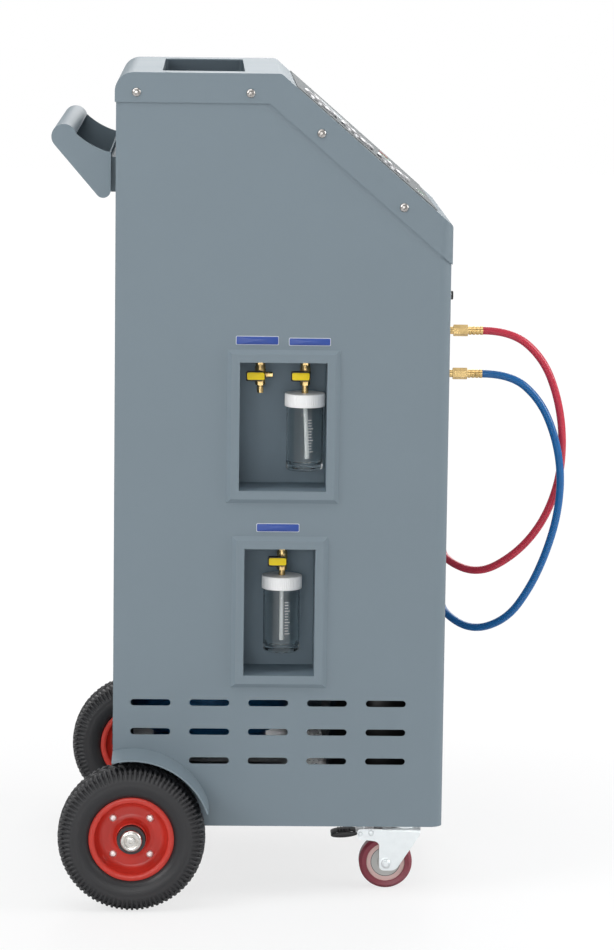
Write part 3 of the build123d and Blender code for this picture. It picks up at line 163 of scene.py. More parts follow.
def grid_faces(rows, columns, wrap_rows=False, wrap_columns=False, start=0):
    """Corner numbers of the quads of a grid of points, joined round where it wraps."""
    i = np.arange(rows if wrap_rows else rows - 1)
    j = np.arange(columns if wrap_columns else columns - 1)
    a, b = np.meshgrid(i, j, indexing="ij")
    c, d = (a + 1) % rows, (b + 1) % columns
    quads = np.stack([a * columns + b, c * columns + b, c * columns + d, a * columns + d], -1)
    return quads.reshape(-1, 4) + start


def mesh_from(name, points, faces):
    """A mesh from an array of points and an array of equal-sided faces."""
    points = np.asarray(points, np.float32).reshape(-1, 3)
    faces = np.asarray(faces, np.int32)
    count, sides = faces.shape
    mesh = bpy.data.meshes.new(name)
    mesh.vertices.add(len(points))
    mesh.vertices.foreach_set("co", points.ravel())
    mesh.loops.add(count * sides)
    mesh.loops.foreach_set("vertex_index", faces.ravel())
    mesh.polygons.add(count)
    mesh.polygons.foreach_set("loop_start", np.arange(0, count * sides, sides, dtype=np.int32))
    mesh.update(calc_edges=True)
    return mesh


def rounded_profile(points, radius, steps=4):
    """A profile whose inner corners are replaced by arcs, sampled as quadratic curves.

    Each corner c between a and b becomes (1-t)^2 p + 2t(1-t) c + t^2 q, where p and q lie on the
    two runs at the given distance from c, or half way along a short run.
    """
    points = np.asarray(points, float)
    out = [points[0]]
    for before, corner, after in zip(points[:-2], points[1:-1], points[2:]):
        first, second = before - corner, after - corner
        cut = min(radius, np.linalg.norm(first) / 2, np.linalg.norm(second) / 2)
        start = corner + first / np.linalg.norm(first) * cut
        end = corner + second / np.linalg.norm(second) * cut
        t = np.linspace(0, 1, steps + 1)[:, None]
        out.extend((1 - t) ** 2 * start + 2 * t * (1 - t) * corner + t**2 * end)
    out.append(points[-1])
    return np.array(out)


def supported(profile, reach=0.8):
    """Adds points near the ends of long runs, so that smooth shading stays flat along them."""
    points = np.asarray(profile, float)
    out = [points[0]]
    for first, last in zip(points[:-1], points[1:]):
        length = np.linalg.norm(last - first)
        if length > 3 * reach:
            step = (last - first) / length * reach
            out.extend([first + step, last - step])
        out.append(last)
    return np.array(out)


def revolved(name, profile, centre, axis, turns=64, hint=(0.0, 0.0, 1.0), shape=None):
    """A surface of revolution.

    The point at profile parameter k and angle a is centre + axis h(k) + r(k) (side cos a + up sin a),
    with r and h in millimetres. shape may change the radii and heights, given as full grids.
    """
    profile = supported(profile)
    side, up = axes_from(axis, hint)
    angle = np.linspace(0, 2 * math.pi, turns, endpoint=False)
    radius, turn = np.meshgrid(profile[:, 0], angle, indexing="ij")
    height, _ = np.meshgrid(profile[:, 1], angle, indexing="ij")
    if shape is not None:
        radius, height = shape(radius, height, turn)
    radius, height = radius / 1000, height / 1000
    points = (
        np.asarray(centre)
        + height[..., None] * np.asarray(axis, float)
        + (radius * np.cos(turn))[..., None] * side
        + (radius * np.sin(turn))[..., None] * up
    )
    mesh = mesh_from(name, points, grid_faces(len(profile), turns, wrap_columns=True))
    return tidy_mesh(mesh, 2e-7)


def rounded_plate(name, centre, normal, width, height, corner, thickness, edge=0.4, hint=(0, 0, 1)):
    """A flat plate with rounded corners and a soft rim.

    Its outline is a rounded rectangle sampled by angle, and its profile runs from the middle of the
    back round the rim to the middle of the face: the outline is drawn in by edge at both faces.
    """
    side, up = axes_from(normal, hint)
    quarter = np.linspace(0, math.pi / 2, 7)
    centres = [(1, 1, 0), (-1, 1, 1), (-1, -1, 2), (1, -1, 3)]
    outline = []
    for sx, sy, turn in centres:
        a = quarter + turn * math.pi / 2
        x = sx * (width / 2 - corner) + corner * np.cos(a)
        y = sy * (height / 2 - corner) + corner * np.sin(a)
        outline.append(np.stack([x, y], -1))
    outline = np.concatenate(outline)
    length = np.linalg.norm(outline, axis=1, keepdims=True)
    inward = -outline / length
    steps = [(None, 0), (edge, 0), (0.3 * edge, 0.3 * edge), (0, edge)]
    steps += [(0, thickness - edge), (0.3 * edge, thickness - 0.3 * edge), (edge, thickness), (None, thickness)]
    rings = []
    for cut, level in steps:
        ring = np.zeros_like(outline) if cut is None else outline + inward * cut
        flat = ring[:, :1] * side + ring[:, 1:] * up
        rings.append((flat + level * np.asarray(normal, float)) / 1000)
    points = np.stack(rings) + np.asarray(centre)
    mesh = mesh_from(name, points, grid_faces(len(rings), len(outline), wrap_columns=True))
    return tidy_mesh(mesh, 2e-7)


def boxes(name, centres, sizes, side, up, out):
    """Many small blocks in one mesh, each given by its middle and its three edge lengths.

    Corner k of block i is centre(i) plus or minus half its size along the three directions.
    """
    signs = np.array([(x, y, z) for x in (-1, 1) for y in (-1, 1) for z in (-1, 1)], float)
    centres = np.asarray(centres, float).reshape(-1, 1, 3)
    halves = np.asarray(sizes, float).reshape(-1, 1, 3) / 2000
    side, up, out = (np.asarray(v, float).reshape(-1, 1, 3) for v in (side, up, out))
    reach = signs[None] * halves
    points = centres + reach[..., :1] * side + reach[..., 1:2] * up + reach[..., 2:] * out
    quads = np.array([(0, 1, 3, 2), (4, 6, 7, 5), (0, 4, 5, 1), (2, 3, 7, 6), (0, 2, 6, 4), (1, 5, 7, 3)])
    faces = quads[None] + 8 * np.arange(len(points))[:, None, None]
    return tidy_mesh(mesh_from(name, points, faces.reshape(-1, 4)), 1e-8)


def joined(name, meshes):
    """One mesh made of several."""
    work = bmesh.new()
    for mesh in meshes:
        work.from_mesh(mesh)
    whole = bpy.data.meshes.new(name)
    work.to_mesh(whole)
    work.free()
    return whole


# Shader node groups
def group_sockets(group, inputs, outputs):
    for name, kind, value in inputs:
        socket = group.interface.new_socket(name=name, in_out="INPUT", socket_type=kind)
        if value is not None:
            socket.default_value = value
    for name, kind in outputs:
        group.interface.new_socket(name=name, in_out="OUTPUT", socket_type=kind)
    source = group.nodes.new("NodeGroupInput")
    sink = group.nodes.new("NodeGroupOutput")
    return source, sink


def link(tree, start, end):
    tree.links.new(start, end)


def math_node(tree, operation, first, second=None, clamp=False):
    node = tree.nodes.new("ShaderNodeMath")
    node.operation = operation
    node.use_clamp = clamp
    for socket, value in zip(node.inputs, (first, second)):
        if value is None:
            continue
        if hasattr(value, "is_output"):
            link(tree, value, socket)
        else:
            socket.default_value = value
    return node.outputs[0]


def mixed_colour(tree, factor, first, second, blend="MIX"):
    node = tree.nodes.new("ShaderNodeMix")
    node.data_type = "RGBA"
    node.blend_type = blend
    for socket, value in ((node.inputs[0], factor), (node.inputs[6], first), (node.inputs[7], second)):
        if hasattr(value, "is_output"):
            link(tree, value, socket)
        else:
            socket.default_value = value
    return node.outputs[2]


def grain_group():
    """Fine orange peel, faint clouding and a little dust, as on sprayed or moulded surfaces."""
    group = bpy.data.node_groups.get("surface_grain")
    if group:
        return group
    group = bpy.data.node_groups.new("surface_grain", "ShaderNodeTree")
    inputs = [
        ("Colour", "NodeSocketColor", (0.5, 0.5, 0.5, 1.0)),
        ("Grain Scale", "NodeSocketFloat", 900.0),
        ("Grain Depth", "NodeSocketFloat", 0.1),
        ("Clouding", "NodeSocketFloat", 0.06),
        ("Roughness", "NodeSocketFloat", 0.4),
        ("Dust", "NodeSocketFloat", 0.1),
    ]
    outputs = [("Colour", "NodeSocketColor"), ("Roughness", "NodeSocketFloat"), ("Normal", "NodeSocketVector")]
    source, sink = group_sockets(group, inputs, outputs)
    spot = group.nodes.new("ShaderNodeTexCoord")
    fine = group.nodes.new("ShaderNodeTexNoise")
    fine.inputs["Detail"].default_value = 3.0
    link(group, spot.outputs["Object"], fine.inputs["Vector"])
    link(group, source.outputs["Grain Scale"], fine.inputs["Scale"])
    cloud = group.nodes.new("ShaderNodeTexNoise")
    cloud.inputs["Scale"].default_value = 7.0
    cloud.inputs["Detail"].default_value = 4.0
    link(group, spot.outputs["Object"], cloud.inputs["Vector"])
    specks = group.nodes.new("ShaderNodeTexVoronoi")
    specks.inputs["Scale"].default_value = 420.0
    link(group, spot.outputs["Object"], specks.inputs["Vector"])
    drift = math_node(group, "MULTIPLY", math_node(group, "SUBTRACT", cloud.outputs["Fac"], 0.5), 2.0)
    lift = math_node(group, "MULTIPLY", drift, source.outputs["Clouding"])
    value = math_node(group, "ADD", lift, 1.0)
    tinted = group.nodes.new("ShaderNodeVectorMath")
    tinted.operation = "SCALE"
    link(group, source.outputs["Colour"], tinted.inputs[0])
    link(group, value, tinted.inputs["Scale"])
    near = math_node(group, "LESS_THAN", specks.outputs["Distance"], 0.07)
    upward = group.nodes.new("ShaderNodeNewGeometry")
    split = group.nodes.new("ShaderNodeSeparateXYZ")
    link(group, upward.outputs["Normal"], split.inputs[0])
    flat = math_node(group, "MULTIPLY", math_node(group, "MAXIMUM", split.outputs["Z"], 0.15), near)
    dust = math_node(group, "MULTIPLY", flat, source.outputs["Dust"])
    colour = mixed_colour(group, dust, tinted.outputs[0], (0.62, 0.60, 0.56, 1.0))
    link(group, colour, sink.inputs["Colour"])
    rough = math_node(group, "ADD", source.outputs["Roughness"], math_node(group, "MULTIPLY", drift, 0.05))
    link(group, math_node(group, "ADD", rough, math_node(group, "MULTIPLY", dust, 0.4), True), sink.inputs["Roughness"])
    bump = group.nodes.new("ShaderNodeBump")
    bump.inputs["Distance"].default_value = 0.0004
    link(group, source.outputs["Grain Depth"], bump.inputs["Strength"])
    link(group, fine.outputs["Fac"], bump.inputs["Height"])
    link(group, bump.outputs["Normal"], sink.inputs["Normal"])
    return group


def worn_group():
    """Darker blotches and thin scratches for bare or plated metal."""
    group = bpy.data.node_groups.get("metal_wear")
    if group:
        return group
    group = bpy.data.node_groups.new("metal_wear", "ShaderNodeTree")
    inputs = [
        ("Colour", "NodeSocketColor", (0.7, 0.7, 0.7, 1.0)),
        ("Stain", "NodeSocketColor", (0.3, 0.28, 0.25, 1.0)),
        ("Stain Share", "NodeSocketFloat", 0.2),
        ("Roughness", "NodeSocketFloat", 0.25),
        ("Scratch Depth", "NodeSocketFloat", 0.1),
    ]
    outputs = [("Colour", "NodeSocketColor"), ("Roughness", "NodeSocketFloat"), ("Normal", "NodeSocketVector")]
    source, sink = group_sockets(group, inputs, outputs)
    spot = group.nodes.new("ShaderNodeTexCoord")
    blotch = group.nodes.new("ShaderNodeTexNoise")
    blotch.inputs["Scale"].default_value = 90.0
    blotch.inputs["Detail"].default_value = 5.0
    link(group, spot.outputs["Object"], blotch.inputs["Vector"])
    stretch = group.nodes.new("ShaderNodeMapping")
    stretch.inputs["Scale"].default_value = (160.0, 160.0, 2600.0)
    link(group, spot.outputs["Object"], stretch.inputs["Vector"])
    lines = group.nodes.new("ShaderNodeTexNoise")
    lines.inputs["Scale"].default_value = 1.0
    lines.inputs["Detail"].default_value = 2.0
    link(group, stretch.outputs[0], lines.inputs["Vector"])
    patch = math_node(group, "MULTIPLY", math_node(group, "SUBTRACT", blotch.outputs["Fac"], 0.45), 5.0, True)
    share = math_node(group, "MULTIPLY", patch, source.outputs["Stain Share"])
    colour = mixed_colour(group, share, source.outputs["Colour"], source.outputs["Stain"])
    link(group, colour, sink.inputs["Colour"])
    rough = math_node(group, "ADD", source.outputs["Roughness"], math_node(group, "MULTIPLY", share, 0.35))
    link(group, math_node(group, "ADD", rough, math_node(group, "MULTIPLY", lines.outputs["Fac"], 0.06)), sink.inputs["Roughness"])
    bump = group.nodes.new("ShaderNodeBump")
    bump.inputs["Distance"].default_value = 0.0002
    link(group, source.outputs["Scratch Depth"], bump.inputs["Strength"])
    link(group, lines.outputs["Fac"], bump.inputs["Height"])
    link(group, bump.outputs["Normal"], sink.inputs["Normal"])
    return group


def shader_material(name, group, values, metallic=0.0, **plain):
    """A material whose colour, roughness and relief come from a node group.

    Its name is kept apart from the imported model's own materials, so that neither stands for the other.
    """
    name = "station_" + name
    material = bpy.data.materials.get(name)
    if material:
        return material
    material = bpy.data.materials.new(name)
    material.use_nodes = True
    tree = material.node_tree
    shader = tree.nodes["Principled BSDF"]
    effect = tree.nodes.new("ShaderNodeGroup")
    effect.node_tree = group
    for key, value in values.items():
        effect.inputs[key].default_value = value
    link(tree, effect.outputs["Colour"], shader.inputs["Base Color"])
    link(tree, effect.outputs["Roughness"], shader.inputs["Roughness"])
    link(tree, effect.outputs["Normal"], shader.inputs["Normal"])
    shader.inputs["Metallic"].default_value = metallic
    for key, value in plain.items():
        shader.inputs[key.replace("_", " ")].default_value = value
    return material


def painted(name, colour, roughness=0.42, scale=900.0, depth=0.12, clouding=0.05, dust=0.15, **plain):
    values = {
        "Colour": (*colour, 1.0),
        "Roughness": roughness,
        "Grain Scale": scale,
        "Grain Depth": depth,
        "Clouding": clouding,
        "Dust": dust,
    }
    return shader_material(name, grain_group(), values, 0.0, **plain)


def bare_metal(name, colour, stain, share=0.2, roughness=0.25, scratch=0.1, **plain):
    values = {
        "Colour": (*colour, 1.0),
        "Stain": (*stain, 1.0),
        "Stain Share": share,
        "Roughness": roughness,
        "Scratch Depth": scratch,
    }
    return shader_material(name, worn_group(), values, 1.0, **plain)


def clear_material(name, tint, roughness=0.03, ior=1.49):
    """Clear moulded plastic or glass, with faint ripples."""
    name = "station_" + name
    material = bpy.data.materials.get(name)
    if material:
        return material
    material = bpy.data.materials.new(name)
    material.use_nodes = True
    tree = material.node_tree
    shader = tree.nodes["Principled BSDF"]
    shader.inputs["Base Color"].default_value = (*tint, 1.0)
    shader.inputs["Transmission Weight"].default_value = 1.0
    shader.inputs["Roughness"].default_value = roughness
    shader.inputs["IOR"].default_value = ior
    spot = tree.nodes.new("ShaderNodeTexCoord")
    ripple = tree.nodes.new("ShaderNodeTexNoise")
    ripple.inputs["Scale"].default_value = 60.0
    bump = tree.nodes.new("ShaderNodeBump")
    bump.inputs["Strength"].default_value = 0.08
    bump.inputs["Distance"].default_value = 0.0005
    link(tree, spot.outputs["Object"], ripple.inputs["Vector"])
    link(tree, ripple.outputs["Fac"], bump.inputs["Height"])
    link(tree, bump.outputs["Normal"], shader.inputs["Normal"])
    return material


def dress(node, material):
    """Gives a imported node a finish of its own."""
    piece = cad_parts[node]
    if not piece.material_slots:
        piece.data.materials.append(material)
    for slot in piece.material_slots:
        slot.material = material


# Settings shown in the sidebar
class StationFinish(bpy.types.PropertyGroup):
    cabinet_colour: FloatVectorProperty(
        name="Cabinet Colour",
        description="Colour of the sprayed sheet steel",
        subtype="COLOR",
        size=3,
        min=0.0,
        max=1.0,
        default=(0.200, 0.250, 0.284),
    )
    rim_colour: FloatVectorProperty(
        name="Rim Colour",
        description="Colour of the wheel rims",
        subtype="COLOR",
        size=3,
        min=0.0,
        max=1.0,
        default=(0.60, 0.042, 0.028),
    )
    plaque_colour: FloatVectorProperty(
        name="Plaque Colour",
        description="Colour of the bare plaques over the niches",
        subtype="COLOR",
        size=3,
        min=0.0,
        max=1.0,
        default=(0.030, 0.075, 0.33),
    )
    red_hose_colour: FloatVectorProperty(
        name="High Side Hose Colour",
        description="Colour of the high side hose",
        subtype="COLOR",
        size=3,
        min=0.0,
        max=1.0,
        default=(0.60, 0.034, 0.066),
    )
    blue_hose_colour: FloatVectorProperty(
        name="Low Side Hose Colour",
        description="Colour of the low side hose",
        subtype="COLOR",
        size=3,
        min=0.0,
        max=1.0,
        default=(0.006, 0.130, 0.38),
    )


class StationSizes(bpy.types.PropertyGroup):
    hose_diameter: FloatProperty(
        name="Hose Diameter",
        description="Outside diameter of both hoses",
        default=0.0115,
        min=0.006,
        max=0.02,
        unit="LENGTH",
    )
    tread_depth: FloatProperty(
        name="Tread Depth",
        description="Depth of the grooves between the tyre's blocks",
        default=0.0042,
        min=0.0,
        max=0.008,
        unit="LENGTH",
    )
    screw_radius: FloatProperty(
        name="Screw Head Radius",
        description="Radius of the pan heads that hold the cover",
        default=0.0063,
        min=0.003,
        max=0.01,
        unit="LENGTH",
    )
    lamp_power: FloatProperty(
        name="Lamp Power",
        description="Power that all the lamps of the stage are scaled by",
        default=36.0,
        min=0.0,
        max=200.0,
    )


def finish():
    return bpy.context.scene.station_finish


def sizes():
    return bpy.context.scene.station_sizes


def cabinet_paint():
    return painted("cabinet_paint", finish().cabinet_colour, 0.52, 1100.0, 0.16, 0.03, 0.05, Specular_IOR_Level=0.3)


def black_plastic():
    return painted("black_plastic", (0.012, 0.012, 0.013), 0.42, 1500.0, 0.2, 0.05, 0.2)


def bright_zinc():
    return bare_metal("bright_zinc", (0.78, 0.79, 0.80), (0.50, 0.50, 0.50), 0.25, 0.24, 0.12)


def plated_brass():
    return bare_metal("plated_brass", (0.78, 0.56, 0.25), (0.36, 0.24, 0.10), 0.35, 0.22, 0.12)


class STATION_OT_stage(bpy.types.Operator):
    """Builds the floor, the soft lamps and the camera"""

    bl_idname = "station.stage"
    bl_label = "Stage and Camera"

    def execute(self, context):
        scene = context.scene
        scene.view_settings.view_transform = "Standard"
        self.floor()
        self.world(scene)
        self.lamps()
        self.camera(scene)
        return {"FINISHED"}

    def floor(self):
        """A flat square, z(x, y) = 0."""
        x, y = np.meshgrid(np.linspace(-14, 14, 3), np.linspace(-14, 14, 3), indexing="ij")
        mesh = mesh_from("studio_floor", np.stack([x, y, 0 * x], -1), grid_faces(3, 3))
        paper = self.paper()
        floor = new_object("studio_floor", mesh, None, paper, smooth=False)

    def paper(self):
        """Pale paper that the camera sees as white far off and only faintly shaded near the object."""
        material = bpy.data.materials.new("studio_paper")
        material.use_nodes = True
        tree = material.node_tree
        shader = tree.nodes["Principled BSDF"]
        shader.inputs["Base Color"].default_value = (0.86, 0.86, 0.86, 1.0)
        shader.inputs["Roughness"].default_value = 0.6
        spot = tree.nodes.new("ShaderNodeTexCoord")
        reach = tree.nodes.new("ShaderNodeVectorMath")
        reach.operation = "LENGTH"
        link(tree, spot.outputs["Object"], reach.inputs[0])
        far = tree.nodes.new("ShaderNodeMapRange")
        far.interpolation_type = "SMOOTHSTEP"
        for name, value in (("From Min", 0.45), ("From Max", 1.5), ("To Min", 0.70), ("To Max", 1.0)):
            far.inputs[name].default_value = value
        link(tree, reach.outputs["Value"], far.inputs["Value"])
        white = tree.nodes.new("ShaderNodeEmission")
        white.inputs["Strength"].default_value = 1.04
        seen = tree.nodes.new("ShaderNodeMixShader")
        link(tree, far.outputs[0], seen.inputs[0])
        link(tree, shader.outputs[0], seen.inputs[1])
        link(tree, white.outputs[0], seen.inputs[2])
        path = tree.nodes.new("ShaderNodeLightPath")
        mix = tree.nodes.new("ShaderNodeMixShader")
        link(tree, path.outputs["Is Camera Ray"], mix.inputs[0])
        link(tree, shader.outputs[0], mix.inputs[1])
        link(tree, seen.outputs[0], mix.inputs[2])
        link(tree, mix.outputs[0], tree.nodes["Material Output"].inputs["Surface"])
        return material

    def world(self, scene):
        """White to the camera and through glass, dim and even to matt surfaces.

        What gloss reflects falls off with the direction's Y, from the backdrop to the dark side of
        the room behind the camera, so that metal shows both.
        """
        world = bpy.data.worlds.new("studio_world")
        scene.world = world
        world.use_nodes = True
        tree = world.node_tree
        tree.nodes.clear()
        output = tree.nodes.new("ShaderNodeOutputWorld")
        seen = tree.nodes.new("ShaderNodeBackground")
        seen.inputs["Color"].default_value = (1.0, 1.0, 1.0, 1.0)
        spot = tree.nodes.new("ShaderNodeTexCoord")
        split = tree.nodes.new("ShaderNodeSeparateXYZ")
        link(tree, spot.outputs["Generated"], split.inputs[0])
        room = tree.nodes.new("ShaderNodeMapRange")
        for name, value in (("From Min", -0.9), ("From Max", 0.6), ("To Min", 0.45), ("To Max", 0.9)):
            room.inputs[name].default_value = value
        link(tree, split.outputs["Y"], room.inputs["Value"])
        ambient = tree.nodes.new("ShaderNodeBackground")
        ambient.inputs["Color"].default_value = (0.95, 0.97, 1.0, 1.0)
        ambient.inputs["Strength"].default_value = 0.30
        mix = tree.nodes.new("ShaderNodeMixShader")
        path = tree.nodes.new("ShaderNodeLightPath")
        direct = math_node(tree, "MAXIMUM", path.outputs["Is Camera Ray"], path.outputs["Is Transmission Ray"])
        link(tree, math_node(tree, "MAXIMUM", direct, room.outputs[0]), seen.inputs["Strength"])
        bare = math_node(tree, "MAXIMUM", direct, path.outputs["Is Glossy Ray"])
        link(tree, bare, mix.inputs[0])
        link(tree, ambient.outputs[0], mix.inputs[1])
        link(tree, seen.outputs[0], mix.inputs[2])
        link(tree, mix.outputs[0], output.inputs["Surface"])

    def lamp(self, name, spot, target, size, power, colour=(1.0, 1.0, 1.0)):
        data = bpy.data.lights.new(name, "AREA")
        data.shape = "RECTANGLE"
        data.size, data.size_y = size
        data.energy = power
        data.color = colour
        lamp = bpy.data.objects.new(name, data)
        bpy.context.scene.collection.objects.link(lamp)
        lamp.location = spot
        aim = Vector(target) - Vector(spot)
        lamp.rotation_euler = aim.to_track_quat("-Z", "Y").to_euler()
        return lamp

    def lamps(self):
        power = sizes().lamp_power
        self.lamp("key_softbox", (-3.3, -2.4, 2.9), (0.0, 0.0, 0.6), (2.2, 2.2), power * 2.0)
        self.lamp("fill_softbox", (-0.8, -6.4, 1.3), (0.0, 0.0, 0.5), (3.0, 2.2), power * 2.2)
        self.lamp("top_softbox", (-0.5, -0.7, 3.4), (0.0, 0.0, 0.6), (2.4, 2.0), power * 0.8)
        self.lamp("front_softbox", (3.2, -0.6, 1.9), (0.0, 0.0, 0.7), (1.6, 2.2), power * 1.5)
        self.lamp("back_softbox", (0.6, 3.0, 2.4), (0.0, 0.0, 0.7), (2.2, 2.0), power * 1.1)

    def camera(self, scene):
        """Looks along forward = (sin a cos b, cos a cos b, sin b), rolled about that line."""
        turn, tilt, roll = (math.radians(v) for v in (1.53, -8.60, 0.73))
        forward = np.array(
            [math.sin(turn) * math.cos(tilt), math.cos(turn) * math.cos(tilt), math.sin(tilt)]
        )
        right = np.array([math.cos(turn), -math.sin(turn), 0.0])
        up = np.cross(right, forward)
        across = right * math.cos(roll) + up * math.sin(roll)
        above = -right * math.sin(roll) + up * math.cos(roll)
        data = bpy.data.cameras.new("photo_camera")
        data.sensor_fit = "AUTO"
        data.sensor_width = 36.0
        data.lens = 3822.97 / 950.0 * 36.0
        data.clip_end = 60.0
        camera = bpy.data.objects.new("photo_camera", data)
        scene.collection.objects.link(camera)
        spot = place(-103.75, -5449.19, 1387.28)
        pose = np.eye(4)
        pose[:3, 0], pose[:3, 1], pose[:3, 2], pose[:3, 3] = across, above, -forward, spot
        camera.matrix_world = Matrix(pose.tolist())
        scene.camera = camera


class STATION_OT_hoses(bpy.types.Operator):
    """Lays the two charging hoses from the front ports to the parked couplers"""

    bl_idname = "station.hoses"
    bl_label = "Charging Hoses"

    def hose_rubber(self, name, colour):
        """Smooth extruded rubber, faintly uneven along its length."""
        return painted(name, colour, 0.24, 700.0, 0.10, 0.05, 0.05)

    def hose(self, name, route, node, colour):
        """One open smooth spline whose control points are the route's, with a round section."""
        curve = bpy.data.curves.new(name, "CURVE")
        curve.dimensions = "3D"
        spline = curve.splines.new("NURBS")
        spline.points.add(len(route) - 1)
        points = np.array(route) + np.array([ahead, 0.0, 0.0])
        spline.points.foreach_set("co", np.c_[points, np.ones(len(points))].ravel())
        spline.order_u = 3
        spline.use_endpoint_u = True
        spline.resolution_u = 12
        curve.bevel_depth = sizes().hose_diameter / 2
        curve.bevel_resolution = 6
        piece = bpy.data.objects.new(name, curve)
        bpy.context.scene.collection.objects.link(piece)
        curve.materials.append(self.hose_rubber(name + "_rubber", colour))
        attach(piece, "cabinet")
        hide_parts(node)
        node.replace("_hose", "").join(("hose_", ""))
        return piece, points

    def execute(self, context):
        for colour_name, route in (("red", red_route), ("blue", blue_route)):
            colour = getattr(finish(), colour_name + "_hose_colour")
            piece, points = self.hose(colour_name + "_charging_hose", route, colour_name + "_hose", colour)
        return {"FINISHED"}


class STATION_OT_cabinet(bpy.types.Operator):
    """Sprays the sheet steel and fits the cover screws and the bare plaques"""

    bl_idname = "station.cabinet"
    bl_label = "Cabinet"

    def execute(self, context):
        paint = cabinet_paint()
        for node in (
            "left_side_panel",
            "right_side_panel",
            "front_panel",
            "rear_panel",
            "top_cover",
            "push_handle",
            "fenders",
            "niche_frames",
        ):
            dress(node, paint)
        dress("tool_tray", painted("tray_paint", (0.062, 0.088, 0.108), 0.5, 1100.0, 0.16, 0.05, 0.2))
        inside = painted("niche_paint", (0.190, 0.250, 0.296), 0.55, 1100.0, 0.16, 0.05, 0.1, Specular_IOR_Level=0.3)
        dress("upper_niche", inside)
        dress("lower_niche", inside)
        dress("base_tray", bright_zinc())
        self.screws()
        self.plaques()
        return {"FINISHED"}

    def screws(self):
        """Pan heads: a domed profile turned about Y, pressed in where |x| or |z| is small.

        The recess is a cross, 3.6 mm long and 0.9 mm wide each way, 1.2 mm deep.
        """
        reach = sizes().screw_radius * 1000
        profile = [(0, 2.9), (0.5, 2.9), (1.0, 2.88), (1.5, 2.85), (2.0, 2.8), (2.6, 2.7), (3.3, 2.5)]
        profile += [(4.2, 2.15), (5.1, 1.6), (5.8, 0.9), (6.2, 0.2), (reach, -0.3), (5.2, -0.3), (0, -0.3)]

        def recess(radius, height, turn):
            x, y = np.abs(radius * np.cos(turn)), np.abs(radius * np.sin(turn))
            inside = (np.minimum(x, y) < 0.55) & (radius < 3.0) & (height > 1.0)
            return radius, np.where(inside, height - 1.2, height)

        spots = [(-202.5, 1123.0), (-47.5, 1123.0), (49.4, 1069.7), (163.1, 970.3)]
        steel = bare_metal("screw_steel", (0.52, 0.50, 0.48), (0.16, 0.14, 0.12), 0.5, 0.16, 0.1)
        meshes = []
        for x, z in spots:
            for side in (-1, 1):
                centre = place(x, side * -cover_face, z)
                meshes.append(
                    revolved("cover_screw", profile, centre, (0, side, 0), 48, (0.3, 0, 1), recess)
                )
        piece = new_object("cover_screws", joined("cover_screws", meshes), "cabinet", steel)
        piece.data.set_sharp_from_angle(angle=math.radians(35))

    def plaques(self):
        """Bare rounded plates, each with a pale border raised a little round its edge."""
        plates = [(-35.1, 786.3, 59, 12.5), (36.8, 785.0, 57.6, 11.1), (-4.1, 526.9, 59.5, 12.0)]
        face = painted("plaque_face", finish().plaque_colour, 0.32, 600.0, 0.05, 0.03, 0.05)
        rim = painted("plaque_rim", (0.62, 0.65, 0.70), 0.35, 600.0, 0.05, 0.03, 0.05)
        backs, faces = [], []
        for x, z, width, height in plates:
            centre = place(x, side_face, z)
            backs.append(rounded_plate("plaque", centre, (0, -1, 0), width, height, 2.0, 0.7, 0.2))
            front = place(x, side_face - 0.6, z)
            faces.append(
                rounded_plate("plaque", front, (0, -1, 0), width - 1.7, height - 1.7, 1.5, 0.35, 0.1)
            )
        new_object("plaque_borders", joined("plaque_borders", backs), "cabinet", rim, False)
        new_object("plaque_faces", joined("plaque_faces", faces), "cabinet", face, False)


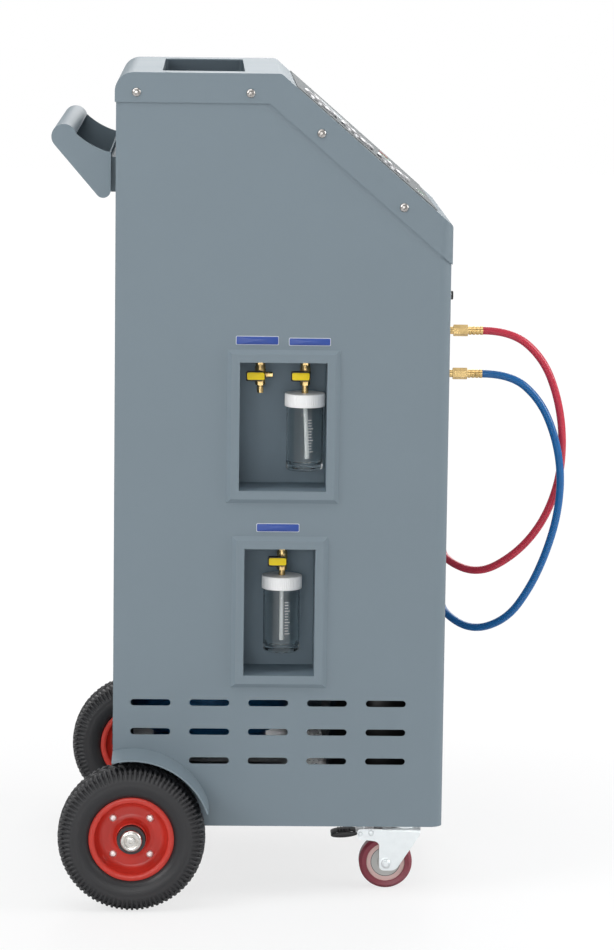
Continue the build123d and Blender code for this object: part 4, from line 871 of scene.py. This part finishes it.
class STATION_OT_console(bpy.types.Operator):
    """Finishes the console, its dials, lenses, display and keys"""

    bl_idname = "station.console"
    bl_label = "Console"

    def execute(self, context):
        film = painted("console_film", (0.25, 0.265, 0.27), 0.7, 1300.0, 0.12, 0.03, 0.15, Specular_IOR_Level=0.1)
        dress("console_panel", film)
        chrome = bare_metal("bezel_chrome", (0.50, 0.50, 0.51), (0.4, 0.4, 0.4), 0.15, 0.2, 0.05)
        dress("control_bezels", chrome)
        for node in ("low_pressure_needle", "high_pressure_needle", "tank_pressure_needle"):
            dress(node, painted("needle_paint", (0.02, 0.02, 0.02), 0.4, 900.0, 0.05))
        dress("mode_button", painted("button_green", (0.03, 0.30, 0.09), 0.35, 900.0, 0.08))
        dress("start_key", painted("key_green", (0.04, 0.32, 0.12), 0.35, 900.0, 0.08))
        dress("stop_key", painted("key_red", (0.45, 0.03, 0.03), 0.35, 900.0, 0.08))
        dress("power_button", black_plastic())
        for index, (s, y) in enumerate(gauge_spots):
            self.gauge(index, s, y)
        self.display()
        return {"FINISHED"}

    def gauge(self, index, s, y):
        """A white disc with ticks on a ring, where tick k stands at angle 135 + 270 k / n degrees."""
        name = ("low", "high", "tank")[index] + "_gauge"
        white = painted(name + "_dial_white", (0.80, 0.80, 0.79), 0.5, 900.0, 0.03, 0.02, 0.02)
        disc = [(0, 0.0), (8, 0.0), (16, 0.0), (23.2, 0.0), (23.2, 0.3), (12, 0.3), (4, 0.3), (1.4, 0.3)]
        centre = on_console(s, y, dial_height)
        mesh = revolved(name + "_dial", disc, centre, console_out, 64, console_across)
        new_object(name + "_dial", mesh, "cabinet", white)
        side, up = axes_from(console_out, console_across)
        angle = np.radians(225 - np.linspace(0, 270, 31))
        outward = np.cos(angle)[:, None] * side + np.sin(angle)[:, None] * up
        along = -np.sin(angle)[:, None] * side + np.cos(angle)[:, None] * up
        long_tick = np.arange(31) % 5 == 0
        length = np.where(long_tick, 4.2, 2.2)
        width = np.where(long_tick, 0.7, 0.35)
        middles = centre + (outward * (21.0 - length / 2)[:, None] + 0.36 * console_out) / 1000
        extents = np.stack([length, width, np.full(31, 0.1)], -1)
        ticks = boxes(name + "_ticks", middles, extents, outward, along, np.tile(console_out, (31, 1)))
        ink = painted("dial_ink", (0.02, 0.02, 0.025), 0.5, 900.0, 0.02, 0.02, 0.0)
        new_object(name + "_ticks", ticks, "cabinet", ink, False)
        band_colours = [(0.05, 0.20, 0.50), (0.60, 0.05, 0.05), (0.05, 0.35, 0.15)]
        band_paint = painted(name + "_band_ink", band_colours[index], 0.5, 900.0, 0.02, 0.02, 0.0)
        a = np.radians(225 - np.linspace(0, 190, 49))
        r = np.array([14.0, 15.8])
        radius, turn = np.meshgrid(r, a, indexing="ij")
        flat = radius[..., None] * (np.cos(turn)[..., None] * side + np.sin(turn)[..., None] * up)
        band = mesh_from(name + "_band", centre + (flat + 0.34 * console_out) / 1000, grid_faces(2, 49))
        new_object(name + "_band", band, "cabinet", band_paint, False)
        lens_profile = [(0, 3.3), (10, 3.2), (23.3, 2.9), (23.3, 3.5), (18, 3.85), (10, 4.1), (0, 4.2)]
        lens_centre = on_console(s, y, 0.0)
        lens = revolved(name + "_lens", lens_profile, lens_centre, console_out, 64, console_across)
        new_object(name + "_lens", lens, "cabinet", clear_material("lens_clear", (0.97, 0.98, 0.98)))

    def display(self):
        """A dark bare display pane in the recess, with a lighter sunk field in its middle."""
        centre = on_console(105.0, 90.0, 0.7)
        side, up = console_down, console_across
        pane = rounded_plate("display_pane", centre, console_out, 149.4, 69.4, 3.0, 0.7, 0.15, console_down)
        glass = painted("display_glass", (0.010, 0.012, 0.015), 0.12, 700.0, 0.01, 0.02, 0.1)
        new_object("display_pane", pane, "cabinet", glass, False)
        field_centre = on_console(105.0, 90.0, 1.35)
        field = rounded_plate("display_field", field_centre, console_out, 112, 42, 2.0, 0.12, 0.05, console_down)
        lit = painted("display_field_tint", (0.05, 0.13, 0.17), 0.2, 700.0, 0.01, 0.02, 0.05)
        new_object("display_field", field, "cabinet", lit, False)


class STATION_OT_niches(bpy.types.Operator):
    """Finishes the valves, levers, caps and bottles in the two niches"""

    bl_idname = "station.niches"
    bl_label = "Valves and Bottles"

    def execute(self, context):
        dress("ball_valves", plated_brass())
        levers = [("dye", -30.0, 734.3), ("oil", 32.0, 734.3), ("drain", 3.0, 475.5)]
        for name, x, z in levers:
            dress(name + "_valve_lever", black_plastic())
            self.insert(name, x, z)
        self.cap("fresh", 32.0, 709.5, 2.6)
        self.cap("waste", 3.0, 454.0, 0.0)
        self.bottle("fresh", 32.0, 602.6, 706.4)
        self.bottle("waste", 3.0, 347.0, 450.7)
        return {"FINISHED"}

    def insert(self, name, x, z):
        """A yellow rounded plate set on the lever's face."""
        yellow = painted("lever_yellow", (1.0, 0.74, 0.02), 0.42, 700.0, 0.10, 0.04, 0.02, Specular_IOR_Level=0.25)
        centre = place(x - 6.5, -228.1, z)
        plate = rounded_plate(name + "_lever_face", centre, (0, -1, 0), 24.0, 10.2, 2.2, 0.8, 0.3)
        new_object(name + "_lever_face", plate, name + "_lever", yellow)

    def cap(self, name, x, top, lean):
        """A screw cap turned about Z, and the dip tube under it turned about its own leaning axis.

        Ribs: between the cap's edges the radius drops by half of one minus the cosine of 64 times
        the angle, times 0.5 mm.
        """
        profile = [(4.6, 18), (26.6, 18), (27.6, 17.6), (28, 16.6), (28, 2.2), (28, 1.4), (27.8, 0)]
        profile += [(25.6, 0), (25.6, 15), (4.6, 15), (4.6, 18)]

        def ribs(radius, height, turn):
            skirt = (radius > 27.7) & (height > 1.8) & (height < 16.7)
            return np.where(skirt, radius - 0.25 * (1 - np.cos(64 * turn)), radius), height

        white = painted("cap_plastic", (0.95, 0.95, 0.945), 0.42, 700.0, 0.12, 0.02, 0.02)
        cap = revolved("cap", profile, place(x, -210.0, top - 18), (0, 0, 1), 384, (0, 1, 0), ribs)
        turn = math.radians(lean)
        down = (math.sin(turn), 0.0, -math.cos(turn))
        tube = [(3.0, 0), (3.0, 87.8), (2.0, 88), (2.0, 0), (3.0, 0)]
        dip = revolved("tube", tube, place(x, -210.0, top - 4.2), down, 32, (0, 1, 0))
        piece = new_object(name + "_screw_cap", cap, "cabinet", white)
        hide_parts("bottle_caps")
        milky = painted("tube_plastic", (0.80, 0.82, 0.82), 0.25, 700.0, 0.05, 0.02, 0.0)
        new_object(name + "_dip_tube", dip, "cabinet", milky)

    def bottle(self, name, x, low, high):
        """A clear bottle turned about Z: outer wall, rim and inner wall as one closed profile.

        Twelve shallow flutes round the foot lower the radius by a cosine of twelve times the angle.
        """
        height = high - low
        outer = [(0, 1.6), (13, 1.4), (17, 0.5), (19.5, 0.0), (23, 0.0), (25.0, 1.5), (25.5, 4.0)]
        outer += [(25.5, 12), (25.1, 13.5), (25.5, 15), (25.5, 78), (25.1, 79.5), (25.5, 81), (25.5, height)]
        inner = [(24.0, height), (24.0, 16), (23.4, 11), (20.5, 7.6), (12, 6.6), (0, 6.4)]
        profile = np.concatenate([rounded_profile(outer, 0.8, 2), rounded_profile(inner, 1.0, 2)])

        def flutes(radius, z, turn):
            foot = (z < 12) & (z > 1) & (radius > 24.6)
            return np.where(foot, radius - 0.25 * (1 - np.cos(12 * turn)), radius), z

        centre = place(x, -210.0, low)
        mesh = revolved(name + "_oil_bottle_clear", profile, centre, (0, 0, 1), 96, (0, 1, 0), flutes)
        clear = clear_material("bottle_clear_plastic", (0.93, 0.95, 0.95), 0.04, 1.40)
        piece = new_object(name + "_oil_bottle_clear", mesh, name + "_bottle", clear)
        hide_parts(name + "_oil_bottle")
        self.scale_marks(name, x, low)

    def scale_marks(self, name, x, low):
        """Short level marks that follow the bottle's wall, at angle a from the front. They stand for moulded ridges,
        and their pale colour is painted highlight.
        """
        angles, heights, widths = [], [], []
        for k in range(12):
            major = k % 4 == 0
            angles.append(9.0)
            heights.append(28 + k * 4.0)
            widths.append(0.30 if major else 0.20)
        strips = []
        for angle, height, width in zip(angles, heights, widths):
            a = np.radians(angle) + np.linspace(0, width, 7)
            r = np.array([25.52, 25.58])
            z = np.array([-0.45, 0.45])
            turn, lift = np.meshgrid(a, z, indexing="ij")
            outline = np.stack([np.sin(turn) * r[1] + x, -np.cos(turn) * r[1] - 210.0, lift + low + height], -1)
            points = outline / 1000 + np.array([ahead, 0, 0])
            strips.append(mesh_from("mark", points, grid_faces(7, 2)))
        # Pale colour: painted highlight of the moulded level ridges, which are as clear as the bottle itself.
        ink = painted("mark_painted_highlight", (0.80, 0.82, 0.83), 0.5, 700.0, 0.02, 0.02, 0.0)
        new_object(name + "_bottle_marks", joined("marks", strips), name + "_bottle", ink, False)


class STATION_OT_wheels(bpy.types.Operator):
    """Builds the knobbly tyres, the rim bolts and finishes the rear running gear"""

    bl_idname = "station.wheels"
    bl_label = "Rear Wheels"

    def execute(self, context):
        red = painted("rim_red", finish().rim_colour, 0.26, 500.0, 0.08, 0.05, 0.05, Specular_IOR_Level=0.4)
        for name, side in (("left", -1), ("right", 1)):
            self.rim(name, side, red)
            dress(name + "_hub", painted("hub_black", (0.02, 0.02, 0.022), 0.4, 700.0, 0.1))
            self.tyre(name, side)
            self.bolts(name, side)
        self.axle()
        return {"FINISHED"}

    def rim(self, name, side, red):
        """The rim turned about the axle: a rolled flange, a barrel, and a disc with a raised collar.

        The outer half of the closed profile is rounded at its corners and mirrored about the disc.
        """
        half = [(15.1, 1.2), (19.8, 1.2), (19.8, 19.6), (20.6, 20.4), (21.5, 19.6), (22.2, 9.0), (25.0, 4.0)]
        half += [(30.5, 2.2), (41.5, 2.0), (45.5, 3.6), (48.8, 9.0), (50.0, 14.0), (50.2, 19.5)]
        half += [(51.0, 22.6), (53.6, 23.6), (57.0, 23.4), (59.0, 22.4), (58.8, 21.6), (55.5, 21.4)]
        half += [(52.6, 20.6), (52.0, 18.0), (52.0, 9.0)]
        half = rounded_profile(half, 1.6, 4)
        profile = np.concatenate([half, half[::-1] * [1, -1], half[:1]])
        centre = place(-202.3, side * 297.0, 102.0)
        mesh = revolved(name + "_dished_rim", profile, centre, (0, side, 0), 128, (0, 0, 1))
        piece = new_object(name + "_dished_rim", mesh, name + "_wheel", red)
        piece.data.set_sharp_from_angle(angle=math.radians(50))
        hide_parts(name + "_rim")

    def axle(self):
        """The axle turned about Y as one closed profile, mirrored about the middle.

        Each end has a nut with a ringed face, and a socket screw with a six-sided hole in it.
        """
        half = [(0, 331.2), (2.6, 331.2), (3.0, 333.4), (5.6, 333.2), (6.6, 332.4), (6.8, 331.0), (8.4, 331.0)]
        half += [(8.6, 333.0), (10.0, 333.7), (12.2, 333.5), (14.2, 332.0), (15.3, 329.6), (15.5, 326.4)]
        half += [(10.0, 326.3), (10.0, 267.7), (15.0, 267.7), (15.0, 250.3), (10.0, 250.3)]
        profile = half + [(r, -y) for r, y in reversed(half)]

        def socket(radius, height, turn):
            hexed = 2.7 / np.cos((turn + math.pi / 6) % (math.pi / 3) - math.pi / 6)
            inside = (radius > 2.0) & (radius < 3.1) & (np.abs(height) > 330.0)
            return np.where(inside, hexed + (radius - 2.6), radius), height

        mesh = revolved("axle", profile, place(-202.3, 0, 102.0), (0, 1, 0), 96, (0, 0, 1), socket)
        chrome = bare_metal("nut_chrome", (0.72, 0.70, 0.67), (0.30, 0.24, 0.16), 0.35, 0.2, 0.1)
        piece = new_object("axle_and_nuts", mesh, "cabinet", chrome)
        piece.data.set_sharp_from_angle(angle=math.radians(40))
        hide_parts("rear_axle")

    def tyre(self, name, side):
        """A C-shaped section turned about the axle, cut by grooves.

        The section is rounded. Blocks are left where a wave of the angle, shifted by the place across
        the tread, is above a threshold, and the radius drops by the tread depth between them.
        """
        depth = sizes().tread_depth * 1000
        outer = [(52.3, 21.2), (58.8, 21.2), (60.5, 24), (64, 28.0), (72, 30.6), (82, 31.0), (90, 30.2)]
        outer += [(96.0, 28.2), (99.6, 24.5), (101.4, 18), (102, 9), (102, 0)]
        outer = rounded_profile(outer, 3.0, 3)
        extra = np.linspace(14, 1, 12)
        flat = np.stack([np.full(12, 102.0), extra], -1)
        half = np.concatenate([outer[outer[:, 1] > 14.5], flat])
        half = np.unique(np.round(half, 4), axis=0)
        order = np.argsort(np.unwrap(np.arctan2(half[:, 1], half[:, 0] - 76)))[::-1]
        half = half[order]
        inner = np.array([(52.3, 15.6), (62, 15.6), (70, 24.6), (88, 24.6), (94, 18), (95, 8), (95, 0)])
        section = np.concatenate([half, half[::-1] * [1, -1], inner * [1, -1], inner[::-1]])
        section = np.concatenate([section, section[:1]])

        def blocks(radius, height, turn):
            across = np.abs(height)
            tread = np.clip((radius - 92.0) / 5.0, 0, 1)
            shift = np.where(height > 0, 0.0, math.pi)
            shoulder = np.sin(88 * turn + shift)
            middle = np.sin(44 * turn + across * 0.45)
            wave = np.where(across > 13, shoulder, middle)
            groove = 1 / (1 + np.exp((wave + 0.15) * 9))
            ring = np.exp(-(((across - 12.5) / 1.6) ** 2)) + np.exp(-((across / 1.4) ** 2))
            cut = np.clip(groove + ring * 0.8, 0, 1) * tread * depth
            wall = (radius > 70) & (across > 24)
            side_cut = np.where(wall, groove * np.clip((radius - 85) / 3, 0, 1) * 2.2, 0)
            return radius - cut, np.sign(height) * (across - side_cut - self.rings(radius, across))

        centre = place(-202.3, side * 297.0, 102.0)
        mesh = revolved(name + "_tread_tyre", section, centre, (0, side, 0), 792, (0, 0, 1), blocks)
        rubber = painted("tyre_rubber", (0.015, 0.015, 0.017), 0.44, 500.0, 0.25, 0.15, 0.35)
        piece = new_object(name + "_tread_tyre", mesh, name + "_wheel", rubber)
        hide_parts(name + "_tyre")

    def rings(self, radius, across):
        """Two shallow moulded grooves round the side wall, each a bell curve of the radius."""
        bead = np.exp(-(((radius - 64.0) / 0.9) ** 2))
        upper = np.exp(-(((radius - 80.0) / 0.9) ** 2))
        return np.where(across > 20, 0.5 * (bead + upper), 0)

    def bolts(self, name, side):
        """Four domed bolts on a circle of radius 36, on both faces of the disc."""
        head = [(0, 3.0), (2.6, 2.9), (4.2, 2.4), (5.0, 1.4), (5.4, 0.6), (5.5, 0), (0, 0)]
        meshes = []
        for k in range(4):
            angle = math.radians(45 + 90 * k)
            for face in (-1, 1):
                y = side * 297.0 + face * 2.0
                spot = place(-202.3 + 36 * math.cos(angle), y, 102 + 36 * math.sin(angle))
                meshes.append(revolved("bolt", head, spot, (0, face, 0), 24))
        mesh = joined(name + "_rim_bolts", meshes)
        dull = bare_metal("rivet_zinc", (0.90, 0.82, 0.80), (0.6, 0.45, 0.42), 0.3, 0.45, 0.1)
        new_object(name + "_rim_bolts", mesh, name + "_wheel", dull)


class STATION_OT_casters(bpy.types.Operator):
    """Finishes the front casters"""

    bl_idname = "station.casters"
    bl_label = "Casters"

    def ringed_tread(self, name, side):
        """Burgundy tread, a pinkish ring and a grey hub, chosen by distance from the axle."""
        material = bpy.data.materials.new(name + "_caster_tread")
        material.use_nodes = True
        tree = material.node_tree
        shader = tree.nodes["Principled BSDF"]
        spot = tree.nodes.new("ShaderNodeTexCoord")
        middle = tree.nodes.new("ShaderNodeMapping")
        middle.inputs["Location"].default_value = tuple(-place(155.0, side * 172.5, 37.5))
        link(tree, spot.outputs["Object"], middle.inputs["Vector"])
        flat = tree.nodes.new("ShaderNodeVectorMath")
        flat.operation = "MULTIPLY"
        flat.inputs[1].default_value = (1.0, 0.0, 1.0)
        link(tree, middle.outputs[0], flat.inputs[0])
        reach = tree.nodes.new("ShaderNodeVectorMath")
        reach.operation = "LENGTH"
        link(tree, flat.outputs[0], reach.inputs[0])
        outer = math_node(tree, "GREATER_THAN", reach.outputs["Value"], 0.0270)
        ring = math_node(tree, "GREATER_THAN", reach.outputs["Value"], 0.0210)
        joint = math_node(tree, "GREATER_THAN", reach.outputs["Value"], 0.0201)
        hub = mixed_colour(tree, joint, (0.52, 0.52, 0.50, 1.0), (0.10, 0.10, 0.10, 1.0))
        inner = mixed_colour(tree, ring, hub, (0.72, 0.50, 0.47, 1.0))
        colour = mixed_colour(tree, outer, inner, (0.24, 0.035, 0.055, 1.0))
        effect = tree.nodes.new("ShaderNodeGroup")
        effect.node_tree = grain_group()
        effect.inputs["Roughness"].default_value = 0.34
        effect.inputs["Grain Scale"].default_value = 600.0
        effect.inputs["Grain Depth"].default_value = 0.1
        link(tree, colour, effect.inputs["Colour"])
        link(tree, effect.outputs["Colour"], shader.inputs["Base Color"])
        link(tree, effect.outputs["Roughness"], shader.inputs["Roughness"])
        link(tree, effect.outputs["Normal"], shader.inputs["Normal"])
        return material

    def execute(self, context):
        for name, side in (("left", -1), ("right", 1)):
            self.fork(name, side)
            dress(name + "_caster_wheel", self.ringed_tread(name, side))
            dress(name + "_caster_brake", bright_zinc())
            self.pedal_pad(name, side)
        dress("caster_plates", bright_zinc())
        return {"FINISHED"}

    def slab(self, x, low, high, section):
        """A sheet between two curves low(x) and high(x), with the same section at every x.

        The section is a closed loop of (across, height, share): its height is counted from low(x)
        where share is 0 and from high(x) where share is 1.
        """
        section = np.asarray(section, float)
        base = low[:, None] + (high - low)[:, None] * section[:, 2]
        points = np.stack(
            [np.repeat(x[:, None], len(section), 1), np.repeat(section[:, 0][None], len(x), 0), base + section[:, 1]], -1
        )
        count = len(section)
        sides = grid_faces(len(x), count, wrap_columns=True)
        half = count // 2
        rung = np.arange(half - 1)
        cap = np.stack([rung, rung + 1, count - 2 - rung, count - 1 - rung], -1)
        return points, np.concatenate([sides, cap, cap + (len(x) - 1) * count])

    def fork(self, name, side):
        """The fork as one bent sheet: two legs cut to a curve, and a top that joins them.

        Heights and places along X are counted from the wheel's axle. The legs reach down to a curve
        low(x), read between rounded corners, and up to a straight edge or to the bend of the top.
        """
        middle = place(155.0, side * 172.5, 37.5)
        lower = [(-41, 41.5), (-40, 34.5), (-30, 33.5), (-14, 31.5), (-9.51, 27), (-9.5, -10.8), (14, -10.8)]
        lower = rounded_profile(lower + [(47.5, 41), (48.5, 46.4)], 8, 8)
        upper = rounded_profile([(-41, 41.5), (-40, 48.6), (-30, 49), (-6, 49)], 5, 8)
        columns = np.unique(np.concatenate([lower[:, 0], upper[:, 0], np.linspace(-41, 48.5, 60), [-6.0]]))
        low = np.interp(columns, lower[:, 0], lower[:, 1])
        arm = columns <= -6
        high = np.interp(columns, upper[:, 0], upper[:, 1])
        meshes = []
        for y in (-16.5, 16.5):
            leg = [(y - 1.5, 0, 0), (y - 1.5, 0, 1), (y + 1.5, 0, 1), (y + 1.5, 0, 0)]
            rest = columns >= -6
            for part, top in ((arm, high[arm]), (rest, np.full(rest.sum(), 46.5))):
                points, faces = self.slab(columns[part], low[part], top, leg)
                meshes.append(tidy_mesh(mesh_from("leg", middle + points / 1000, faces), 1e-7))
        turn = np.linspace(0, math.pi / 2, 6)
        outer = np.stack([-14 - 4 * np.cos(turn), 46.5 + 4 * np.sin(turn), 0 * turn], -1)
        inner = np.stack([-14 - np.cos(turn), 46.5 + np.sin(turn), 0 * turn], -1)
        bend = np.concatenate([outer, outer[::-1] * [-1, 1, 1], inner * [-1, 1, 1], inner[::-1]])
        across = np.array([-6.0, 0.0, 20.0, 40.0, 48.5])
        points, faces = self.slab(across, 0 * across, 0 * across, bend)
        meshes.append(tidy_mesh(mesh_from("bend", middle + points / 1000, faces), 1e-7))
        cup = [(0, 50.3), (17, 50.3), (17, 58.4), (14.2, 61.5), (0, 61.5)]
        meshes.append(revolved("cup", cup, middle + np.array([0.025, 0, 0]), (0, 0, 1), 64, (0, 1, 0)))
        pin = [(0, 19.6), (2.8, 19.4), (3.9, 18.6), (4.1, 18.0), (2.5, 17.9)]
        axle = [(0, 23.0), (3.4, 23.0), (4.0, 21.6), (5.4, 21.4), (6.4, 20.4), (6.5, 19.2), (8.0, 19.0), (8.0, 18.0), (4.0, 17.9)]
        for profile, x, z in ((pin, -21.0, 43.5), (axle, 0.0, 0.0)):
            whole = profile + [(r, -y) for r, y in reversed(profile)]
            spot = middle + np.array([x, 0, z]) / 1000
            meshes.append(revolved("pin", whole, spot, (0, 1, 0), 32))
        rivet = [(0, 19.3), (2.4, 19.0), (3.3, 18.0), (0, 17.8)]
        for face in (-1, 1):
            spot = middle + np.array([-36.0, 0, 42.0]) / 1000
            meshes.append(revolved("rivet", rivet, spot, (0, face, 0), 24))
        zinc = bare_metal("fork_zinc", (0.86, 0.90, 0.91), (0.70, 0.73, 0.75), 0.15, 0.34, 0.1)
        piece = new_object(name + "_swivel_fork", joined(name + "_swivel_fork", meshes), name + "_caster", zinc)
        piece.data.set_sharp_from_angle(angle=math.radians(35))
        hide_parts(name + "_caster_fork")

    def pedal_pad(self, name, side):
        """A black ribbed pad wrapped over the pedal's tip."""
        y = side * 172.5
        lean = math.atan2(4.0, 46.0)
        out = np.array([-math.sin(lean), 0.0, math.cos(lean)])
        along = np.array([math.cos(lean), 0.0, math.sin(lean)])
        middle = place(96.0, y, 78.0)
        reach = np.linspace(-1, 1, 25)
        bulge = np.sqrt(1 - reach**2)
        edge = np.linspace(-math.pi / 2, math.pi / 2, 7)
        right = np.stack([13.5 + 2 * np.cos(edge), 0 * edge, (1 + np.sin(edge)) / 2], -1)
        loop = np.concatenate([right, right[::-1] * [-1, 1, 1]])
        points, faces = self.slab(reach * 19.0, -0.6 - 4.0 * bulge, 3.8 * bulge + 0.6, loop)
        lift = points[..., :1] * along + points[..., 1:2] * np.array([0.0, 1.0, 0.0]) + points[..., 2:] * out
        pad = tidy_mesh(mesh_from(name + "_pad", middle + lift / 1000, faces), 1e-7)
        ribs_middle = [middle + along * (k * 0.004) + out * 0.0046 for k in range(-2, 3)]
        ribs = boxes("ribs", ribs_middle, [(2.0, 25.0, 0.9)] * 5, along, (0, 1, 0), out)
        mesh = joined(name + "_pedal_pad", [pad, ribs])
        new_object(name + "_pedal_pad", mesh, name + "_pedal", black_plastic(), False)


class STATION_OT_fittings(bpy.types.Operator):
    """Finishes the hose fittings, couplers and inlet"""

    bl_idname = "station.fittings"
    bl_label = "Fittings"

    def execute(self, context):
        dress("hose_couplings", plated_brass())
        dress("quick_couplers", bare_metal("coupler_brass", (0.74, 0.62, 0.38), (0.4, 0.3, 0.15), 0.2, 0.24, 0.1))
        dress("red_coupler_knob", painted("knob_red", (0.42, 0.02, 0.03), 0.35, 700.0, 0.12))
        dress("blue_coupler_knob", painted("knob_blue", (0.01, 0.09, 0.30), 0.35, 700.0, 0.12))
        dress("coupler_holder", bright_zinc())
        dress("mains_inlet", black_plastic())
        return {"FINISHED"}


class STATION_OT_plant(bpy.types.Operator):
    """Finishes the plant that shows through the slots"""

    bl_idname = "station.plant"
    bl_label = "Plant Inside"

    def execute(self, context):
        # The tank's blue is its own colour, made brighter to stand in for light that barely reaches it inside the
        # cabinet: partly painted light.
        dress("refrigerant_tank", painted("tank_blue", (0.05, 0.32, 0.75), 0.3, 500.0, 0.1, 0.06, 0.1))
        dress("tank_scale", bare_metal("scale_aluminium", (0.72, 0.73, 0.74), (0.5, 0.5, 0.5), 0.2, 0.35, 0.2))
        dress("compressor", painted("compressor_black", (0.015, 0.015, 0.016), 0.35, 500.0, 0.15, 0.08, 0.3))
        dress("vacuum_pump", painted("pump_grey", (0.18, 0.20, 0.22), 0.4, 500.0, 0.15, 0.06, 0.3))
        dress("condenser", bare_metal("fin_aluminium", (0.70, 0.71, 0.72), (0.5, 0.5, 0.5), 0.3, 0.4, 0.2))
        dress("condenser_fan", black_plastic())
        dress("manifold", bare_metal("block_aluminium", (0.72, 0.73, 0.74), (0.5, 0.5, 0.5), 0.2, 0.3, 0.2))
        dress("equipment_shelf", bright_zinc())
        dress("filter_drier", painted("drier_copper", (0.35, 0.14, 0.07), 0.35, 500.0, 0.1, 0.08, 0.2))
        dress("power_unit", painted("unit_black", (0.02, 0.02, 0.022), 0.45, 900.0, 0.15, 0.05, 0.3))
        return {"FINISHED"}


class STATION_PT_looks(bpy.types.Panel):
    """Shows the station's settings and the buttons that build it"""

    bl_idname = "STATION_PT_looks"
    bl_label = "Recharge Station"
    bl_space_type = "VIEW_3D"
    bl_region_type = "UI"
    bl_category = "Station"

    def draw(self, context):
        layout = self.layout
        for group in (context.scene.station_finish, context.scene.station_sizes):
            for name in group.bl_rna.properties.keys():
                if name not in ("rna_type", "name"):
                    layout.prop(group, name)
        for operator in operators:
            layout.operator(operator.bl_idname)


operators = (
    STATION_OT_stage,
    STATION_OT_hoses,
    STATION_OT_cabinet,
    STATION_OT_console,
    STATION_OT_niches,
    STATION_OT_wheels,
    STATION_OT_casters,
    STATION_OT_fittings,
    STATION_OT_plant,
)
classes = (StationFinish, StationSizes, *operators, STATION_PT_looks)


def register():
    for item in classes:
        bpy.utils.register_class(item)
    bpy.types.Scene.station_finish = PointerProperty(type=StationFinish)
    bpy.types.Scene.station_sizes = PointerProperty(type=StationSizes)


def unregister():
    del bpy.types.Scene.station_sizes
    del bpy.types.Scene.station_finish
    for item in reversed(classes):
        bpy.utils.unregister_class(item)


def main():
    register()
    bpy.ops.station.stage()
    bpy.ops.station.hoses()
    bpy.ops.station.cabinet()
    bpy.ops.station.console()
    bpy.ops.station.niches()
    bpy.ops.station.wheels()
    bpy.ops.station.casters()
    bpy.ops.station.fittings()
    bpy.ops.station.plant()
    bpy.context.view_layer.update()


if __name__ == "__main__":
    main()
